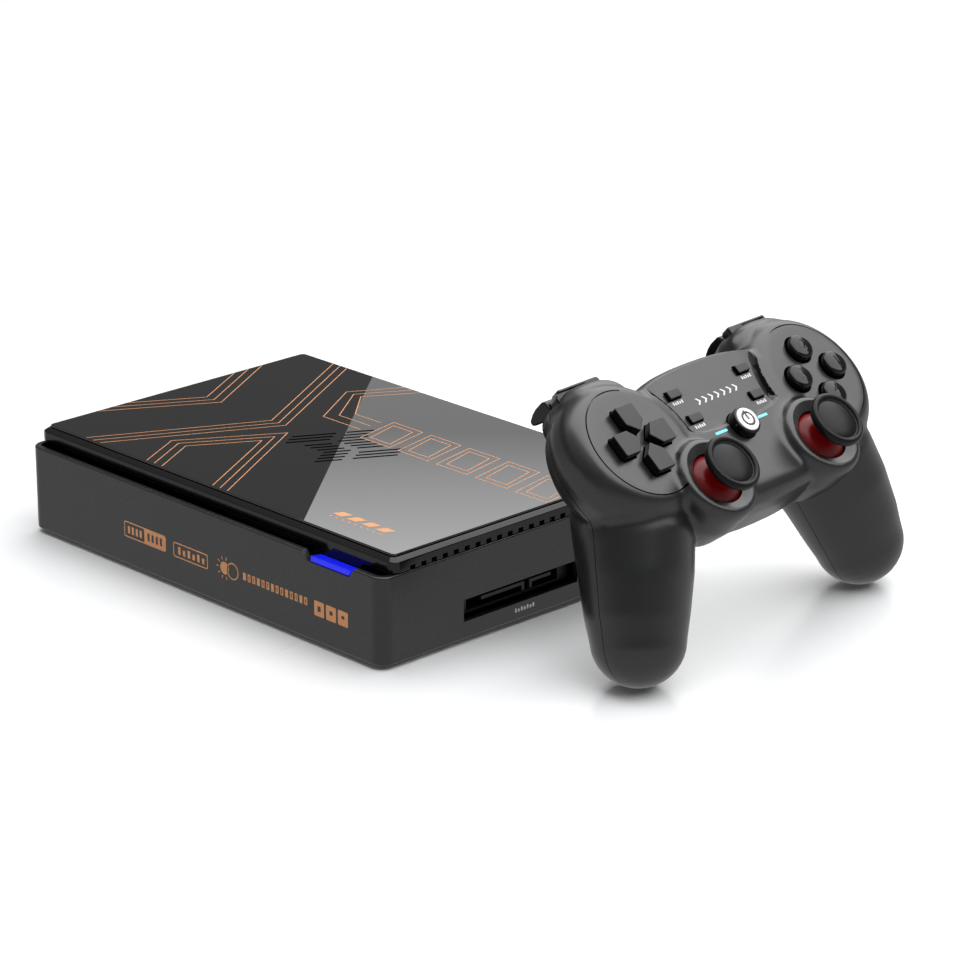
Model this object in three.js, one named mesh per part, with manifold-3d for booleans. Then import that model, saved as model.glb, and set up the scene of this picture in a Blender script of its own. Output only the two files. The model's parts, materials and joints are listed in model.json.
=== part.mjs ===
// Game console with a wireless controller that stands beside it, as an assembly of separate pieces.
// Millimetres, +Z up. The console's front looks along -Y and its drive socket along +X.
// The origin is on the floor, at the middle of the whole footprint.
import * as THREE from "three";
import { mergeVertices } from "three/addons/utils/BufferGeometryUtils.js";
import Module from "manifold-3d";

const wasm = await Module();
wasm.setup();

// ---- driving dimensions: console ----
const CONSOLE = { width: 190, depth: 133, height: 39.5, corner: 5.2, wall: 2.2 };
const FOOT = { radius: 6, height: 1.5, insetX: 15, insetY: 14 };
const TRAY_TOP = 33;
const LID = { bottom: 33.3, shoulder: 37.2, top: 38.5, chamfer: 1.6, frontInset: 5.4, corner: 2.6 };
const PANEL = { inset: 2.2, thickness: 1.0 };
const CHANNEL_FLOOR = 28.6; // dark groove in front of the lid
const NOTCH = { x0: 55.6, x1: 81.4, bottom: 29.7, slope: 2.4 }; // where the light bar shows
const LIGHT_BAR = { x0: 59.6, x1: 78.7, bottom: 30, front: 32.1, back: 31.3 };
const LID_TAB = { x0: 56, x1: 81, slope: 2.6, bottom: 31.6 }; // the lid's skirt comes down behind the light
// Cooling slots: all run along one direction, in steps down or across.
// The pattern is the same turned half round.
const SLOTS = {
  centre: [-0.2, 2.7],
  direction: 60,
  width: 1.3,
  down: [1.75, -2.95],
  across: [3.4, 0],
  long: { start: [-20.7, -4.4], length: 16.3, bars: 3 },
  short: { start: [-10.7, 13.2], length: 10, barsDown: 4, barsAcross: 3 },
};
const DRIVE_SLOT = { y0: -29, y1: 25.5, z0: 7.8, z1: 15.8 };
const VENTS = { first: -53.5, pitch: 5.05, count: 21, width: 2.35, height: 1.55 };
const BOARD = { width: 172, depth: 106, bottom: 5.6, thickness: 1.6 };
const SCREW = { x: 83, y: 53, head: 3, shank: 1.3, post: 3.4 };

// ---- driving dimensions: controller, in its own frame (X to the player's right, Z out of the face) ----
const PAD = { x: 48.4, y: 5.2, faceZ: 1.6 }; // centres of the direction keys and of the action buttons
const STICK = { x: 29.2, y: -16.9, pivotZ: -6, domeR: 12.4, capR: 10.4, capBottom: 9.7, capTop: 13.4 };
const COLLAR = { openingR: 9.7, lipZ: 2.9, rimR: 13, rimZ: 4.9 }; // the cone round each stick
const SHELL = { wall: 2.2, gap: 0.3 };
const TIP = { x: 62, y: -44.6, z: -37.6, r: 16.2 };
const ACTION = { spacing: 10, radius: 4.9, hole: 5.3, top: 5 };
const KEY = { half: 4.3, tip: 2.4, shoulder: 6.1, end: 13, clearance: 0.5, top: 4.9 };
const HOME = { y: -2.3, radius: 5.4, top: 4.6, emblem: 4.5 };
const SMALL_KEYS = [
  ["select_key", -18.8, 16.9],
  ["start_key", 18.8, 16.9],
  ["turbo_key", -17, 6.3],
  ["clear_key", 17, 6.3],
];
const SMALL = { width: 6.2, height: 3.2, top: 1.1 };
const BUMPER = { x0: 35.5, x1: 59.2, y0: 29.5, y1: 35.8, z0: -12, z1: -7.2 };
const TRIGGER = { x0: 37, x1: 58, pivotY: 30, pivotZ: -15.5 };
const LIGHT = { x0: 8, x1: 14.2, y0: -2.4, y1: -1.5, top: 0.9 }; // the lit lines beside the home button
const RECESS = { y: 17, floor: -0.2, halfX: 27.5, halfY: 16 }; // the sunk panel between the pods

// ---- where the controller stands: on its two grip tips, face tilted up ----
const STAND = { x: 146.6, y: 48.4, z: 73.5, heading: 95.2, faceRise: 48.4 };

// ---- finishes ----
const finish = (color, roughness, metalness = 0) =>
  new THREE.MeshStandardMaterial({ color, roughness, metalness });
const FINISH = {
  satinBlack: finish(0x2b2b2c, 0.45),
  glossBlack: finish(0x0c0c0d, 0.12),
  panel: finish(0x242425, 0.06),
  blueLight: finish(0x1a22ff, 0.3),
  cyanLight: finish(0x9fe8f0, 0.3),
  redGloss: finish(0x7a0a0c, 0.18),
  rubber: finish(0x161616, 0.85),
  emblem: finish(0xd8d8d8, 0.25, 1),
  steel: finish(0xa8a8aa, 0.35, 1),
  aluminium: finish(0xb4b6b8, 0.4, 1),
  board: finish(0x0f3d22, 0.6),
  connector: finish(0x101010, 0.5),
  battery: finish(0x3f5f8a, 0.5),
};

// ---- solids ----
// A closed geometry as a manifold-3d solid, turned the right way out.
function solid(geometry, matrix = new THREE.Matrix4()) {
  const bare = geometry.index ? geometry.toNonIndexed() : geometry.clone();
  const placed = new THREE.BufferGeometry()
    .setAttribute("position", bare.getAttribute("position"))
    .applyMatrix4(matrix);
  const merged = mergeVertices(placed, 1e-4);
  const corners = merged.index.array;
  const faces = [];
  for (let i = 0; i < corners.length; i += 3) {
    const [a, b, c] = [corners[i], corners[i + 1], corners[i + 2]];
    if (a !== b && b !== c && c !== a) faces.push(a, b, c);
  }
  const make = (triangles) =>
    new wasm.Manifold(
      new wasm.Mesh({
        numProp: 3,
        vertProperties: merged.attributes.position.array,
        triVerts: new Uint32Array(triangles),
      }),
    );
  const made = make(faces);
  if (made.volume() > 0) return made;
  return make(faces.map((v, i) => (i % 3 === 1 ? faces[i + 1] : i % 3 === 2 ? faces[i - 1] : v)));
}

function geometryOf(body) {
  const mesh = body.getMesh();
  const positions = new Float32Array(mesh.numVert * 3);
  for (let i = 0; i < mesh.numVert; i++) {
    positions.set(mesh.vertProperties.subarray(i * mesh.numProp, i * mesh.numProp + 3), i * 3);
  }
  return new THREE.BufferGeometry()
    .setAttribute("position", new THREE.BufferAttribute(positions, 3))
    .setIndex(new THREE.BufferAttribute(mesh.triVerts, 1));
}

const union = (bodies) => bodies.reduce((sum, body) => sum.add(body));
const cut = (body, tools) => tools.reduce((left, tool) => left.subtract(tool), body);
const at = (x, y, z) => new THREE.Matrix4().makeTranslation(x, y, z);

function box(x0, x1, y0, y1, z0, z1) {
  const shape = new THREE.BoxGeometry(x1 - x0, y1 - y0, z1 - z0);
  return solid(shape, at((x0 + x1) / 2, (y0 + y1) / 2, (z0 + z1) / 2));
}

// A solid turned about the Z axis through (x, y), from profile points [radius, z] that start and end on it.
function turned(x, y, profile, sides = 20) {
  const points = profile.map(([radius, z]) => new THREE.Vector2(radius, z));
  const upright = new THREE.Matrix4().makeRotationX(Math.PI / 2);
  return solid(new THREE.LatheGeometry(points, sides), at(x, y, 0).multiply(upright));
}

const cylinder = (x, y, radius, z0, z1, sides = 20) =>
  turned(x, y, [[0, z0], [radius, z0], [radius, z1], [0, z1]], sides);

// A closed outline in XY as a prism from z0 to z1.
function prism(outline, z0, z1) {
  const shape = new THREE.Shape(outline.map(([x, y]) => new THREE.Vector2(x, y)));
  return solid(new THREE.ExtrudeGeometry(shape, { depth: z1 - z0, bevelEnabled: false }), at(0, 0, z0));
}

// A closed outline in YZ as a prism from x0 to x1.
function prismX(outline, x0, x1) {
  const shape = new THREE.Shape(outline.map(([y, z]) => new THREE.Vector2(y, z)));
  const alongX = new THREE.Matrix4().makeBasis(
    new THREE.Vector3(0, 1, 0),
    new THREE.Vector3(0, 0, 1),
    new THREE.Vector3(1, 0, 0),
  );
  const depth = x1 - x0;
  const geometry = new THREE.ExtrudeGeometry(shape, { depth, bevelEnabled: false });
  return solid(geometry, at(x0, 0, 0).multiply(alongX));
}

// A closed outline in XZ as a prism from y0 to y1.
function prismY(outline, y0, y1) {
  const shape = new THREE.Shape(outline.map(([x, z]) => new THREE.Vector2(x, z)));
  const alongY = new THREE.Matrix4().makeBasis(
    new THREE.Vector3(1, 0, 0),
    new THREE.Vector3(0, 0, 1),
    new THREE.Vector3(0, -1, 0),
  );
  const depth = y1 - y0;
  const geometry = new THREE.ExtrudeGeometry(shape, { depth, bevelEnabled: false });
  return solid(geometry, at(0, y1, 0).multiply(alongY));
}

// A rectangle with round corners as outline points, counter-clockwise.
function roundedRectangle(x0, x1, y0, y1, radius, steps = 4) {
  const points = [];
  const corners = [[x1, y1, 0], [x0, y1, 1], [x0, y0, 2], [x1, y0, 3]];
  for (const [x, y, quarter] of corners) {
    const cx = x === x1 ? x1 - radius : x0 + radius;
    const cy = y === y1 ? y1 - radius : y0 + radius;
    for (let i = 0; i <= steps; i++) {
      const angle = ((quarter + i / steps) * Math.PI) / 2;
      points.push([cx + radius * Math.cos(angle), cy + radius * Math.sin(angle)]);
    }
  }
  return points;
}

// A solid through rings of equally many points, closed by a flat fan at each end.
function loft(rings) {
  const count = rings[0].length;
  const positions = rings.flat().flatMap((p) => [p.x, p.y, p.z]);
  const faces = [];
  for (let r = 0; r + 1 < rings.length; r++) {
    for (let i = 0; i < count; i++) {
      const a = r * count + i;
      const b = r * count + ((i + 1) % count);
      faces.push(a, b, b + count, a, b + count, a + count);
    }
  }
  const caps = [[0, 1], [rings.length - 1, -1]];
  for (const [r, way] of caps) {
    const middle = rings[r].reduce((sum, p) => sum.clone().add(p), new THREE.Vector3()).divideScalar(count);
    const centre = positions.length / 3;
    positions.push(middle.x, middle.y, middle.z);
    for (let i = 0; i < count; i++) {
      const a = r * count + i;
      const b = r * count + ((i + 1) % count);
      faces.push(...(way > 0 ? [centre, b, a] : [centre, a, b]));
    }
  }
  const geometry = new THREE.BufferGeometry()
    .setAttribute("position", new THREE.BufferAttribute(new Float32Array(positions), 3))
    .setIndex(faces);
  return solid(geometry);
}

// A superellipse ring about a centre, spanned by two unit directions.
function ring(centre, u, v, a, b, power, count) {
  const points = [];
  for (let i = 0; i < count; i++) {
    const t = (2 * Math.PI * i) / count;
    const c = Math.cos(t);
    const s = Math.sin(t);
    const p = Math.sign(c) * Math.abs(c) ** (2 / power) * a;
    const q = Math.sign(s) * Math.abs(s) ** (2 / power) * b;
    points.push(centre.clone().addScaledVector(u, p).addScaledVector(v, q));
  }
  return points;
}

// ---- console ----
const halfW = CONSOLE.width / 2;
const halfD = CONSOLE.depth / 2;
const lidFront = -halfD + LID.frontInset;

const consoleOutline = (grow, front = -halfD) =>
  roundedRectangle(-halfW - grow, halfW + grow, front - grow, halfD + grow, CONSOLE.corner + grow);

// Rear sockets: name, centre x, width, low z, high z.
const BOARD_TOP = BOARD.bottom + BOARD.thickness;
const REAR_PORTS = [
  ["hdmi_socket", -42, 15.2, BOARD_TOP + 0.3, BOARD_TOP + 6],
  ["network_socket", -14, 16, BOARD_TOP + 0.3, BOARD_TOP + 13.6],
  ["usb_socket_left", 14, 14.2, BOARD_TOP + 0.3, BOARD_TOP + 7.2],
  ["usb_socket_right", 36, 14.2, BOARD_TOP + 0.3, BOARD_TOP + 7.2],
];
const POWER_PORT = { x: -68, z: 13.2, radius: 4.2 };
const SCREW_PLACES = [[-1, -1], [1, -1], [-1, 1], [1, 1]];

function tray() {
  const inner = roundedRectangle(
    -halfW + CONSOLE.wall, halfW - CONSOLE.wall, -halfD + CONSOLE.wall, halfD - CONSOLE.wall,
    CONSOLE.corner - CONSOLE.wall,
  );
  let body = prism(consoleOutline(0), FOOT.height, TRAY_TOP);
  body = body.subtract(prism(inner, FOOT.height + CONSOLE.wall, TRAY_TOP + 1));
  // The shelf that closes the groove in front of the lid.
  const channelBottom = CHANNEL_FLOOR - 1.6;
  body = body.add(box(-halfW + 1, halfW - 1, -halfD + 1, lidFront + 1.4, channelBottom, CHANNEL_FLOOR));
  const notch = [
    [NOTCH.x0 + NOTCH.slope, NOTCH.bottom],
    [NOTCH.x1 - NOTCH.slope, NOTCH.bottom],
    [NOTCH.x1 + 0.7, TRAY_TOP + 1],
    [NOTCH.x0 - 0.7, TRAY_TOP + 1],
  ];
  const lightNotch = prismY(notch, -halfD - 1, -halfD + 3);
  const tools = [
    lightNotch,
    box(halfW - 5, halfW + 1, DRIVE_SLOT.y0, DRIVE_SLOT.y1, DRIVE_SLOT.z0, DRIVE_SLOT.z1),
    ...REAR_PORTS.map(([, x, width, z0, z1]) =>
      box(x - width / 2 - 0.4, x + width / 2 + 0.4, halfD - 5, halfD + 1, z0 - 0.4, z1 + 0.4)),
    box(POWER_PORT.x - 5, POWER_PORT.x + 5, halfD - 5, halfD + 1, POWER_PORT.z - 5, POWER_PORT.z + 5),
  ];
  // Board posts, then the screw holes and their counterbores.
  for (const [sx, sy] of SCREW_PLACES) {
    body = body.add(cylinder(sx * 70, sy * 46, 3, FOOT.height + 1, BOARD.bottom, 12));
    tools.push(cylinder(sx * SCREW.x, sy * SCREW.y, SCREW.shank + 0.5, 0, 10, 12));
    tools.push(cylinder(sx * SCREW.x, sy * SCREW.y, SCREW.head + 0.5, 0, FOOT.height + 0.9, 12));
  }
  return cut(body, tools);
}

// The cooling slots in the cover, as outlines seen from above.
function slotOutlines() {
  const angle = THREE.MathUtils.degToRad(SLOTS.direction);
  const run = [Math.cos(angle), Math.sin(angle)];
  const starts = [];
  const { long, short, down, across } = SLOTS;
  for (let i = 0; i < long.bars; i++) {
    starts.push([long.start[0] + i * down[0], long.start[1] + i * down[1], long.length]);
  }
  let [x, y] = short.start;
  for (let i = 0; i < short.barsDown + short.barsAcross; i++) {
    starts.push([x, y, short.length]);
    const step = i < short.barsDown - 1 ? down : across;
    [x, y] = [x + step[0], y + step[1]];
  }
  return starts.flatMap(([x0, y0, length]) => {
    const across = [(run[1] * SLOTS.width) / 2, (-run[0] * SLOTS.width) / 2];
    const end = [x0 + run[0] * length, y0 + run[1] * length];
    const bar = [
      [x0 - across[0], y0 - across[1]],
      [x0 + across[0], y0 + across[1]],
      [end[0] + across[0], end[1] + across[1]],
      [end[0] - across[0], end[1] - across[1]],
    ];
    const opposite = bar.map(([u, v]) => [2 * SLOTS.centre[0] - u, 2 * SLOTS.centre[1] - v]);
    return [bar, opposite];
  });
}

const slotTools = (z0, z1) => slotOutlines().map((outline) => prism(outline, z0, z1));

function lid() {
  const outline = (inset, z) =>
    roundedRectangle(-halfW + inset, halfW - inset, lidFront + inset, halfD - inset, LID.corner, 2)
      .map(([x, y]) => new THREE.Vector3(x, y, z));
  const body = loft([
    outline(0, LID.bottom), outline(0, LID.shoulder), outline(LID.chamfer, LID.top),
  ]);
  const hollow = box(
    -halfW + 3, halfW - 3, lidFront + 3, halfD - 3, LID.bottom - 1, LID.shoulder - 0.6,
  );
  let made = body.subtract(hollow);
  const tab = [
    [LID_TAB.x0 + 0.8, LID_TAB.bottom],
    [LID_TAB.x1 - LID_TAB.slope, LID_TAB.bottom],
    [LID_TAB.x1, LID.bottom + 0.5],
    [LID_TAB.x0, LID.bottom + 0.5],
  ];
  made = made.add(prismY(tab, lidFront, lidFront + 1.8));
  const postBottom = FOOT.height + CONSOLE.wall + 0.3;
  for (const [sx, sy] of SCREW_PLACES) {
    made = made.add(cylinder(sx * SCREW.x, sy * SCREW.y, SCREW.post, postBottom, LID.shoulder, 12));
    const [x, y] = [sx * SCREW.x, sy * SCREW.y];
    made = made.subtract(cylinder(x, y, SCREW.shank + 0.1, postBottom - 1, postBottom + 10, 12));
  }
  // A row of small notches in the lower edge of the lid's right side lets warm air out.
  const notches = [];
  for (let i = 0; i < VENTS.count; i++) {
    const y = VENTS.first + i * VENTS.pitch;
    notches.push(box(halfW - 4, halfW + 1, y, y + VENTS.width, LID.bottom - 1, LID.bottom + VENTS.height));
  }
  return cut(made, [...notches, ...slotTools(LID.shoulder - 2, LID.top + 1)]);
}

function topPanel() {
  const outline = roundedRectangle(
    -halfW + PANEL.inset, halfW - PANEL.inset, lidFront + PANEL.inset, halfD - PANEL.inset, LID.corner, 2,
  );
  return cut(prism(outline, LID.top, LID.top + PANEL.thickness), slotTools(LID.top - 1, LID.top + 3));
}

// Blue light guide: shows in the notch of the front wall, under the lid's tab.
function lightBar() {
  const back = lidFront - 0.3;
  const end = (x, slope) =>
    [
      [-halfD + 0.2, LIGHT_BAR.bottom],
      [back, LIGHT_BAR.bottom],
      [back, LIGHT_BAR.back],
      [-halfD + 0.2, LIGHT_BAR.front],
    ].map(([y, z]) => new THREE.Vector3(x + (z - LIGHT_BAR.bottom) * slope, y, z));
  const shown = loft([end(LIGHT_BAR.x0, 0), end(LIGHT_BAR.x1, 0.7)]);
  const foot = box(
    LIGHT_BAR.x0, LIGHT_BAR.x1, -halfD + CONSOLE.wall + 0.3, back,
    CHANNEL_FLOOR + 0.3, LIGHT_BAR.bottom + 0.5,
  );
  return shown.add(foot);
}

// A drive socket: a housing with a long and a short contact tongue between two guide posts.
function driveSocket() {
  const { y0, y1, z0, z1 } = DRIVE_SLOT;
  const mouth = halfW - 2.6;
  const back = halfW - 15;
  const middle = (y0 + y1) / 2;
  let body = box(back, mouth - 2, y0 + 0.4, y1 - 0.4, z0 + 0.4, z1 - 0.4);
  body = body.subtract(box(back + 4, mouth, y0 + 5.4, y1 - 5.4, z0 + 1.4, z1 - 1.4));
  const tongueZ = z1 - 3.4;
  const long = box(back + 3, mouth, middle - 16.7, middle + 3.9, tongueZ, tongueZ + 1.25);
  const short = box(back + 3, mouth, middle + 6.3, middle + 16.7, tongueZ, tongueZ + 1.25);
  const longHook = box(back + 3, mouth, middle + 2.65, middle + 3.9, tongueZ - 1.9, tongueZ + 0.1);
  const shortHook = box(back + 3, mouth, middle + 6.3, middle + 7.55, tongueZ - 1.9, tongueZ + 0.1);
  return union([body, long, short, longHook, shortHook]);
}

// The board's corners are notched round the screw posts.
function mainBoard() {
  const [halfWidth, halfDepth] = [BOARD.width / 2, BOARD.depth / 2];
  const plate = box(-halfWidth, halfWidth, -halfDepth, halfDepth + 6, BOARD.bottom, BOARD_TOP);
  return cut(plate, SCREW_PLACES.map(([sx, sy]) => {
    const [x, y] = [sx * (SCREW.x + 4), sy * (SCREW.y + 8)];
    return box(x - 9, x + 9, y - 13, y + 13, BOARD.bottom - 1, BOARD_TOP + 1);
  }));
}

function heatSink() {
  const bodies = [box(-38, 6, -22, 22, BOARD_TOP + 2.4, BOARD_TOP + 5.4)];
  for (let i = 0; i < 9; i++) {
    bodies.push(box(-38 + i * 5.3, -36.4 + i * 5.3, -22, 22, BOARD_TOP + 5, BOARD_TOP + 19));
  }
  return union(bodies);
}

// A metal-shelled socket that opens through the rear wall, with its tongue inside.
function rearSocket(x, width, z0, z1, tongue) {
  const front = halfD - 0.6;
  const back = front - 13;
  const body = box(x - width / 2, x + width / 2, back, front, z0, z1);
  const hollow = box(x - width / 2 + 0.8, x + width / 2 - 0.8, back + 3, front + 1, z0 + 0.8, z1 - 0.8);
  const made = body.subtract(hollow);
  return made.add(box(x - width / 2 + 2, x + width / 2 - 2, back + 2, front - 2, z1 - 0.9 - tongue, z1 - 0.7));
}

function powerSocket() {
  const { x, z, radius } = POWER_PORT;
  const front = halfD - 0.6;
  const body = box(x - 4.6, x + 4.6, front - 13, front, z - 4.6, z + 4.6);
  const bore = solid(new THREE.CylinderGeometry(radius - 1, radius - 1, 12, 20), at(x, front - 4, z));
  const pin = solid(new THREE.CylinderGeometry(1, 1, 10, 12), at(x, front - 6.2, z));
  return body.subtract(bore).add(pin);
}

function screw(x, y) {
  const headTop = FOOT.height + 0.6;
  return turned(x, y, [
    [0, FOOT.height - 0.9], [SCREW.head - 0.4, FOOT.height - 0.9],
    [SCREW.head, FOOT.height - 0.3], [SCREW.head, headTop],
    [SCREW.shank - 0.15, headTop], [SCREW.shank - 0.15, headTop + 9], [0, headTop + 10],
  ], 12);
}

const consoleParts = [
  ["console_tray", tray(), FINISH.satinBlack],
  ["console_lid", lid(), FINISH.glossBlack],
  ["lid_top_panel", topPanel(), FINISH.panel],
  ["power_light_bar", lightBar(), FINISH.blueLight],
  ["main_board", mainBoard(), FINISH.board],
  ["heat_sink", heatSink(), FINISH.aluminium],
  ["drive_socket", driveSocket(), FINISH.connector],
  ["power_socket", powerSocket(), FINISH.connector],
  ...REAR_PORTS.map(([name, x, width, z0, z1]) => [name, rearSocket(x, width, z0, z1, 1.8), FINISH.steel]),
  ...SCREW_PLACES.map(([sx, sy], i) => [
    "rubber_foot_" + (i + 1),
    turned(sx * (halfW - FOOT.insetX - 4), sy * (halfD - FOOT.insetY - 8), [
      [0, 0], [FOOT.radius - 0.6, 0], [FOOT.radius, 0.6], [FOOT.radius, FOOT.height], [0, FOOT.height],
    ], 16),
    FINISH.rubber,
  ]),
  ...SCREW_PLACES.map(([sx, sy], i) => ["case_screw_" + (i + 1), screw(sx * SCREW.x, sy * SCREW.y), FINISH.steel]),
];

// ---- controller shells ----
const TAU = 2 * Math.PI;
const X = new THREE.Vector3(1, 0, 0);
const Y = new THREE.Vector3(0, 1, 0);
const SIDES = [["left", -1], ["right", 1]];

// A round or squarish tower along Z: levels are [z, half width, half depth], shrunk by inset.
function tower(x, y, levels, power, inset, sides = 24) {
  const lowest = levels[0][0];
  const highest = levels[levels.length - 1][0];
  const rings = levels.map(([z, a, b]) => {
    const level = Math.min(Math.max(z, lowest + inset), highest - inset);
    return ring(new THREE.Vector3(x, y, level), X, Y, a - inset, b - inset, power, sides);
  });
  return loft(rings);
}

const CENTRE_LEVELS = [
  [-27, 30, 19], [-25.4, 40, 25], [-20, 46, 28.6], [-9, 49, 28.8],
  [-3, 50, 28.2], [-0.2, 49, 26.4], [1.2, 45.5, 22.6],
];
const POD_LEVELS = [
  [-26, 13, 13], [-24, 19, 19], [-18, 24.6, 24.6], [-10, 27, 27], [-4, 26.6, 26.6], [-1, 24.6, 24.6],
  [0.8, 21.8, 21.8], [PAD.faceZ, 19, 19],
];
const TURRET_LEVELS = [
  [-24, 10, 10], [-18, 13.4, 13.4], [-8, 15.6, 15.6], [1, 15.6, 15.6], [3.4, 15, 15], [4.5, 13.8, 13.8],
];
const SHOULDER_LEVELS = [[-24, 11, 8], [-20, 15, 10], [-13, 17, 11], [-6, 16.5, 10.2], [-2.6, 13, 8]];

// Grip centre line from the pod down to the tip: [x, y, z, radius].
const GRIP_LINE = [
  [46, 18, -13.5, 11], [47, 6, -15.5, 16], [49, -7, -19, 19.6], [51.5, -17, -22.5, 20.4],
  [55.8, -27.5, -27.6, 19.2], [60, -38.4, -34, 17.6],
  [TIP.x, TIP.y, TIP.z, TIP.r],
];

function grip(side, inset) {
  const centres = GRIP_LINE.map(([x, y, z]) => new THREE.Vector3(x * side, y, z));
  const last = centres.length - 1;
  const end = centres[last].clone().sub(centres[last - 1]).normalize();
  const rings = centres.map((c, i) => {
    const r = GRIP_LINE[i][3];
    const along = centres[Math.min(i + 1, last)].clone().sub(centres[Math.max(i - 1, 0)]).normalize();
    const u = X.clone().addScaledVector(along, -along.x).normalize();
    return ring(c, u, along.clone().cross(u), r - inset, r - inset, 2, 24);
  });
  // The rounded tip, ring by ring to nearly a point.
  for (const lift of [0.35, 0.6, 0.8, 0.93, 0.99]) {
    const r = (TIP.r - inset) * Math.sqrt(1 - lift * lift);
    const c = centres[last].clone().addScaledVector(end, (TIP.r - inset) * lift);
    const u = X.clone().addScaledVector(end, -end.x).normalize();
    rings.push(ring(c, u, end.clone().cross(u), r, r, 2, 24));
  }
  return loft(rings);
}

function hull(inset) {
  const bodies = [tower(0, -1, CENTRE_LEVELS, 2.6, inset, 32)];
  for (const [, side] of SIDES) {
    bodies.push(tower(side * PAD.x, PAD.y, POD_LEVELS, 2, inset));
    bodies.push(tower(side * STICK.x, STICK.y, TURRET_LEVELS, 2, inset));
    bodies.push(tower(side * 46, 24, SHOULDER_LEVELS, 2.6, inset));
    bodies.push(grip(side, inset));
  }
  return union(bodies);
}

// A direction key seen from above, pointing away from the pad's centre along one of four quarter turns.
function keyOutline(side, quarter, grow) {
  const { half, tip, shoulder, end } = KEY;
  const shape = [
    [tip - grow, 0], [shoulder, -half - grow], [end - 2, -half - grow], [end + grow, -half + 1.4],
    [end + grow, half - 1.4], [end - 2, half + grow], [shoulder, half + grow],
  ];
  const c = Math.round(Math.cos((quarter * Math.PI) / 2));
  const s = Math.round(Math.sin((quarter * Math.PI) / 2));
  return shape.map(([p, q]) => [side * PAD.x + p * c - q * s, PAD.y + p * s + q * c]);
}

const QUARTERS = ["right", "up", "left", "down"];
const actionPlace = (quarter) => [
  PAD.x + ACTION.spacing * Math.round(Math.cos((quarter * Math.PI) / 2)),
  PAD.y + ACTION.spacing * Math.round(Math.sin((quarter * Math.PI) / 2)),
];
const along = (x, y0, y1, z, radius, sides = 20) =>
  solid(new THREE.CylinderGeometry(radius, radius, y1 - y0, sides), at(x, (y0 + y1) / 2, z));
const across = (x0, x1, y, z, radius, sides = 12) =>
  solid(
    new THREE.CylinderGeometry(radius, radius, x1 - x0, sides),
    at((x0 + x1) / 2, y, z).multiply(new THREE.Matrix4().makeRotationZ(Math.PI / 2)),
  );

// Everything that is cut through both shells.
function shellTools() {
  const tools = [];
  const low = -6;
  const high = 12;
  for (let q = 0; q < 4; q++) {
    tools.push(prism(keyOutline(-1, q, KEY.clearance), low, high));
    tools.push(cylinder(...actionPlace(q), ACTION.hole, low, high, 24));
  }
  for (const [, x, y] of SMALL_KEYS) {
    const w = SMALL.width / 2 + 0.35;
    const h = SMALL.height / 2 + 0.35;
    tools.push(box(x - w, x + w, y - h, y + h, low, high));
  }
  tools.push(cylinder(0, HOME.y, HOME.radius + 0.35, low, high, 24));
  for (const [, side] of SIDES) {
    const { openingR, lipZ, rimR, rimZ } = COLLAR;
    tools.push(turned(side * STICK.x, STICK.y, [
      [0, -5], [openingR, -5], [openingR, lipZ], [rimR, rimZ], [0, rimZ],
    ], 24));
    tools.push(box(
      side > 0 ? BUMPER.x0 - 0.5 : -BUMPER.x1 - 0.6, side > 0 ? BUMPER.x1 + 0.6 : -BUMPER.x0 + 0.5,
      BUMPER.y0 - 2.3, 60, BUMPER.z0 - 0.5, BUMPER.z1 + 0.5,
    ));
    tools.push(box(
      side > 0 ? TRIGGER.x0 - 0.6 : -TRIGGER.x1 - 0.6, side > 0 ? TRIGGER.x1 + 0.6 : -TRIGGER.x0 + 0.6,
      TRIGGER.pivotY - 4.2, 60, -50, BUMPER.z0 - 0.5,
    ));
    tools.push(across(
      side * (TRIGGER.x0 + TRIGGER.x1) / 2 - 16.6, side * (TRIGGER.x0 + TRIGGER.x1) / 2 + 16.6,
      TRIGGER.pivotY, TRIGGER.pivotZ, 1.7,
    ));
    // Light windows beside the home button.
    tools.push(box(...lightSpan(side, 0.3), LIGHT.y0 - 0.3, LIGHT.y1 + 0.3, low, high));
  }
  tools.push(box(-4.4, 4.4, 18, 40, -12.5, -8.9));
  return tools;
}

const lightSpan = (side, grow) =>
  side > 0 ? [LIGHT.x0 - grow, LIGHT.x1 + grow] : [-LIGHT.x1 - grow, -LIGHT.x0 + grow];

// Where the shells part, seen from the side: [y, z] from the top edge down along the grips.
const PARTING = [
  [60, -12.4], [14, -12.4], [0, -14.6], [-12, -19.2], [-24, -26], [-36, -33.6],
  [-48, -41.6], [-60, -49.6], [-100, -76],
];

// The panel between the pods lies a little below the face round it.
function panelRecess() {
  const { y, floor, halfX, halfY } = RECESS;
  const levels = [[floor, halfX, halfY], [1.2, halfX + 1.6, halfY + 1.6], [8, halfX + 2.4, halfY + 2.4]];
  const pods = SIDES.map(([, side]) => cylinder(side * PAD.x, PAD.y, 24.2, -4, 9, 32));
  return cut(tower(0, y, levels, 4, 0), pods);
}

const outerHull = hull(0).subtract(panelRecess());
const shell = cut(outerHull.subtract(hull(SHELL.wall)), shellTools());
const half = SHELL.gap / 2;
const frontSide = [...PARTING.map(([y, z]) => [y, z + half]), [-100, 60], [60, 60]];
const rearSide = [...PARTING.map(([y, z]) => [y, z - half]), [-100, -90], [60, -90]];
const frontShell = shell.intersect(prismX(frontSide, -100, 100));

const BOARD_Z = { low: -14, high: -12.4 };
const BOARD_POSTS = [[30, 12], [26, -8]];
function rearShell() {
  let body = shell.intersect(prismX(rearSide, -100, 100));
  for (const [, side] of SIDES) {
    for (const [x, y] of BOARD_POSTS) body = body.add(cylinder(side * x, y, 2.2, -25, BOARD_Z.low - 0.3, 12));
  }
  return body;
}

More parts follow.
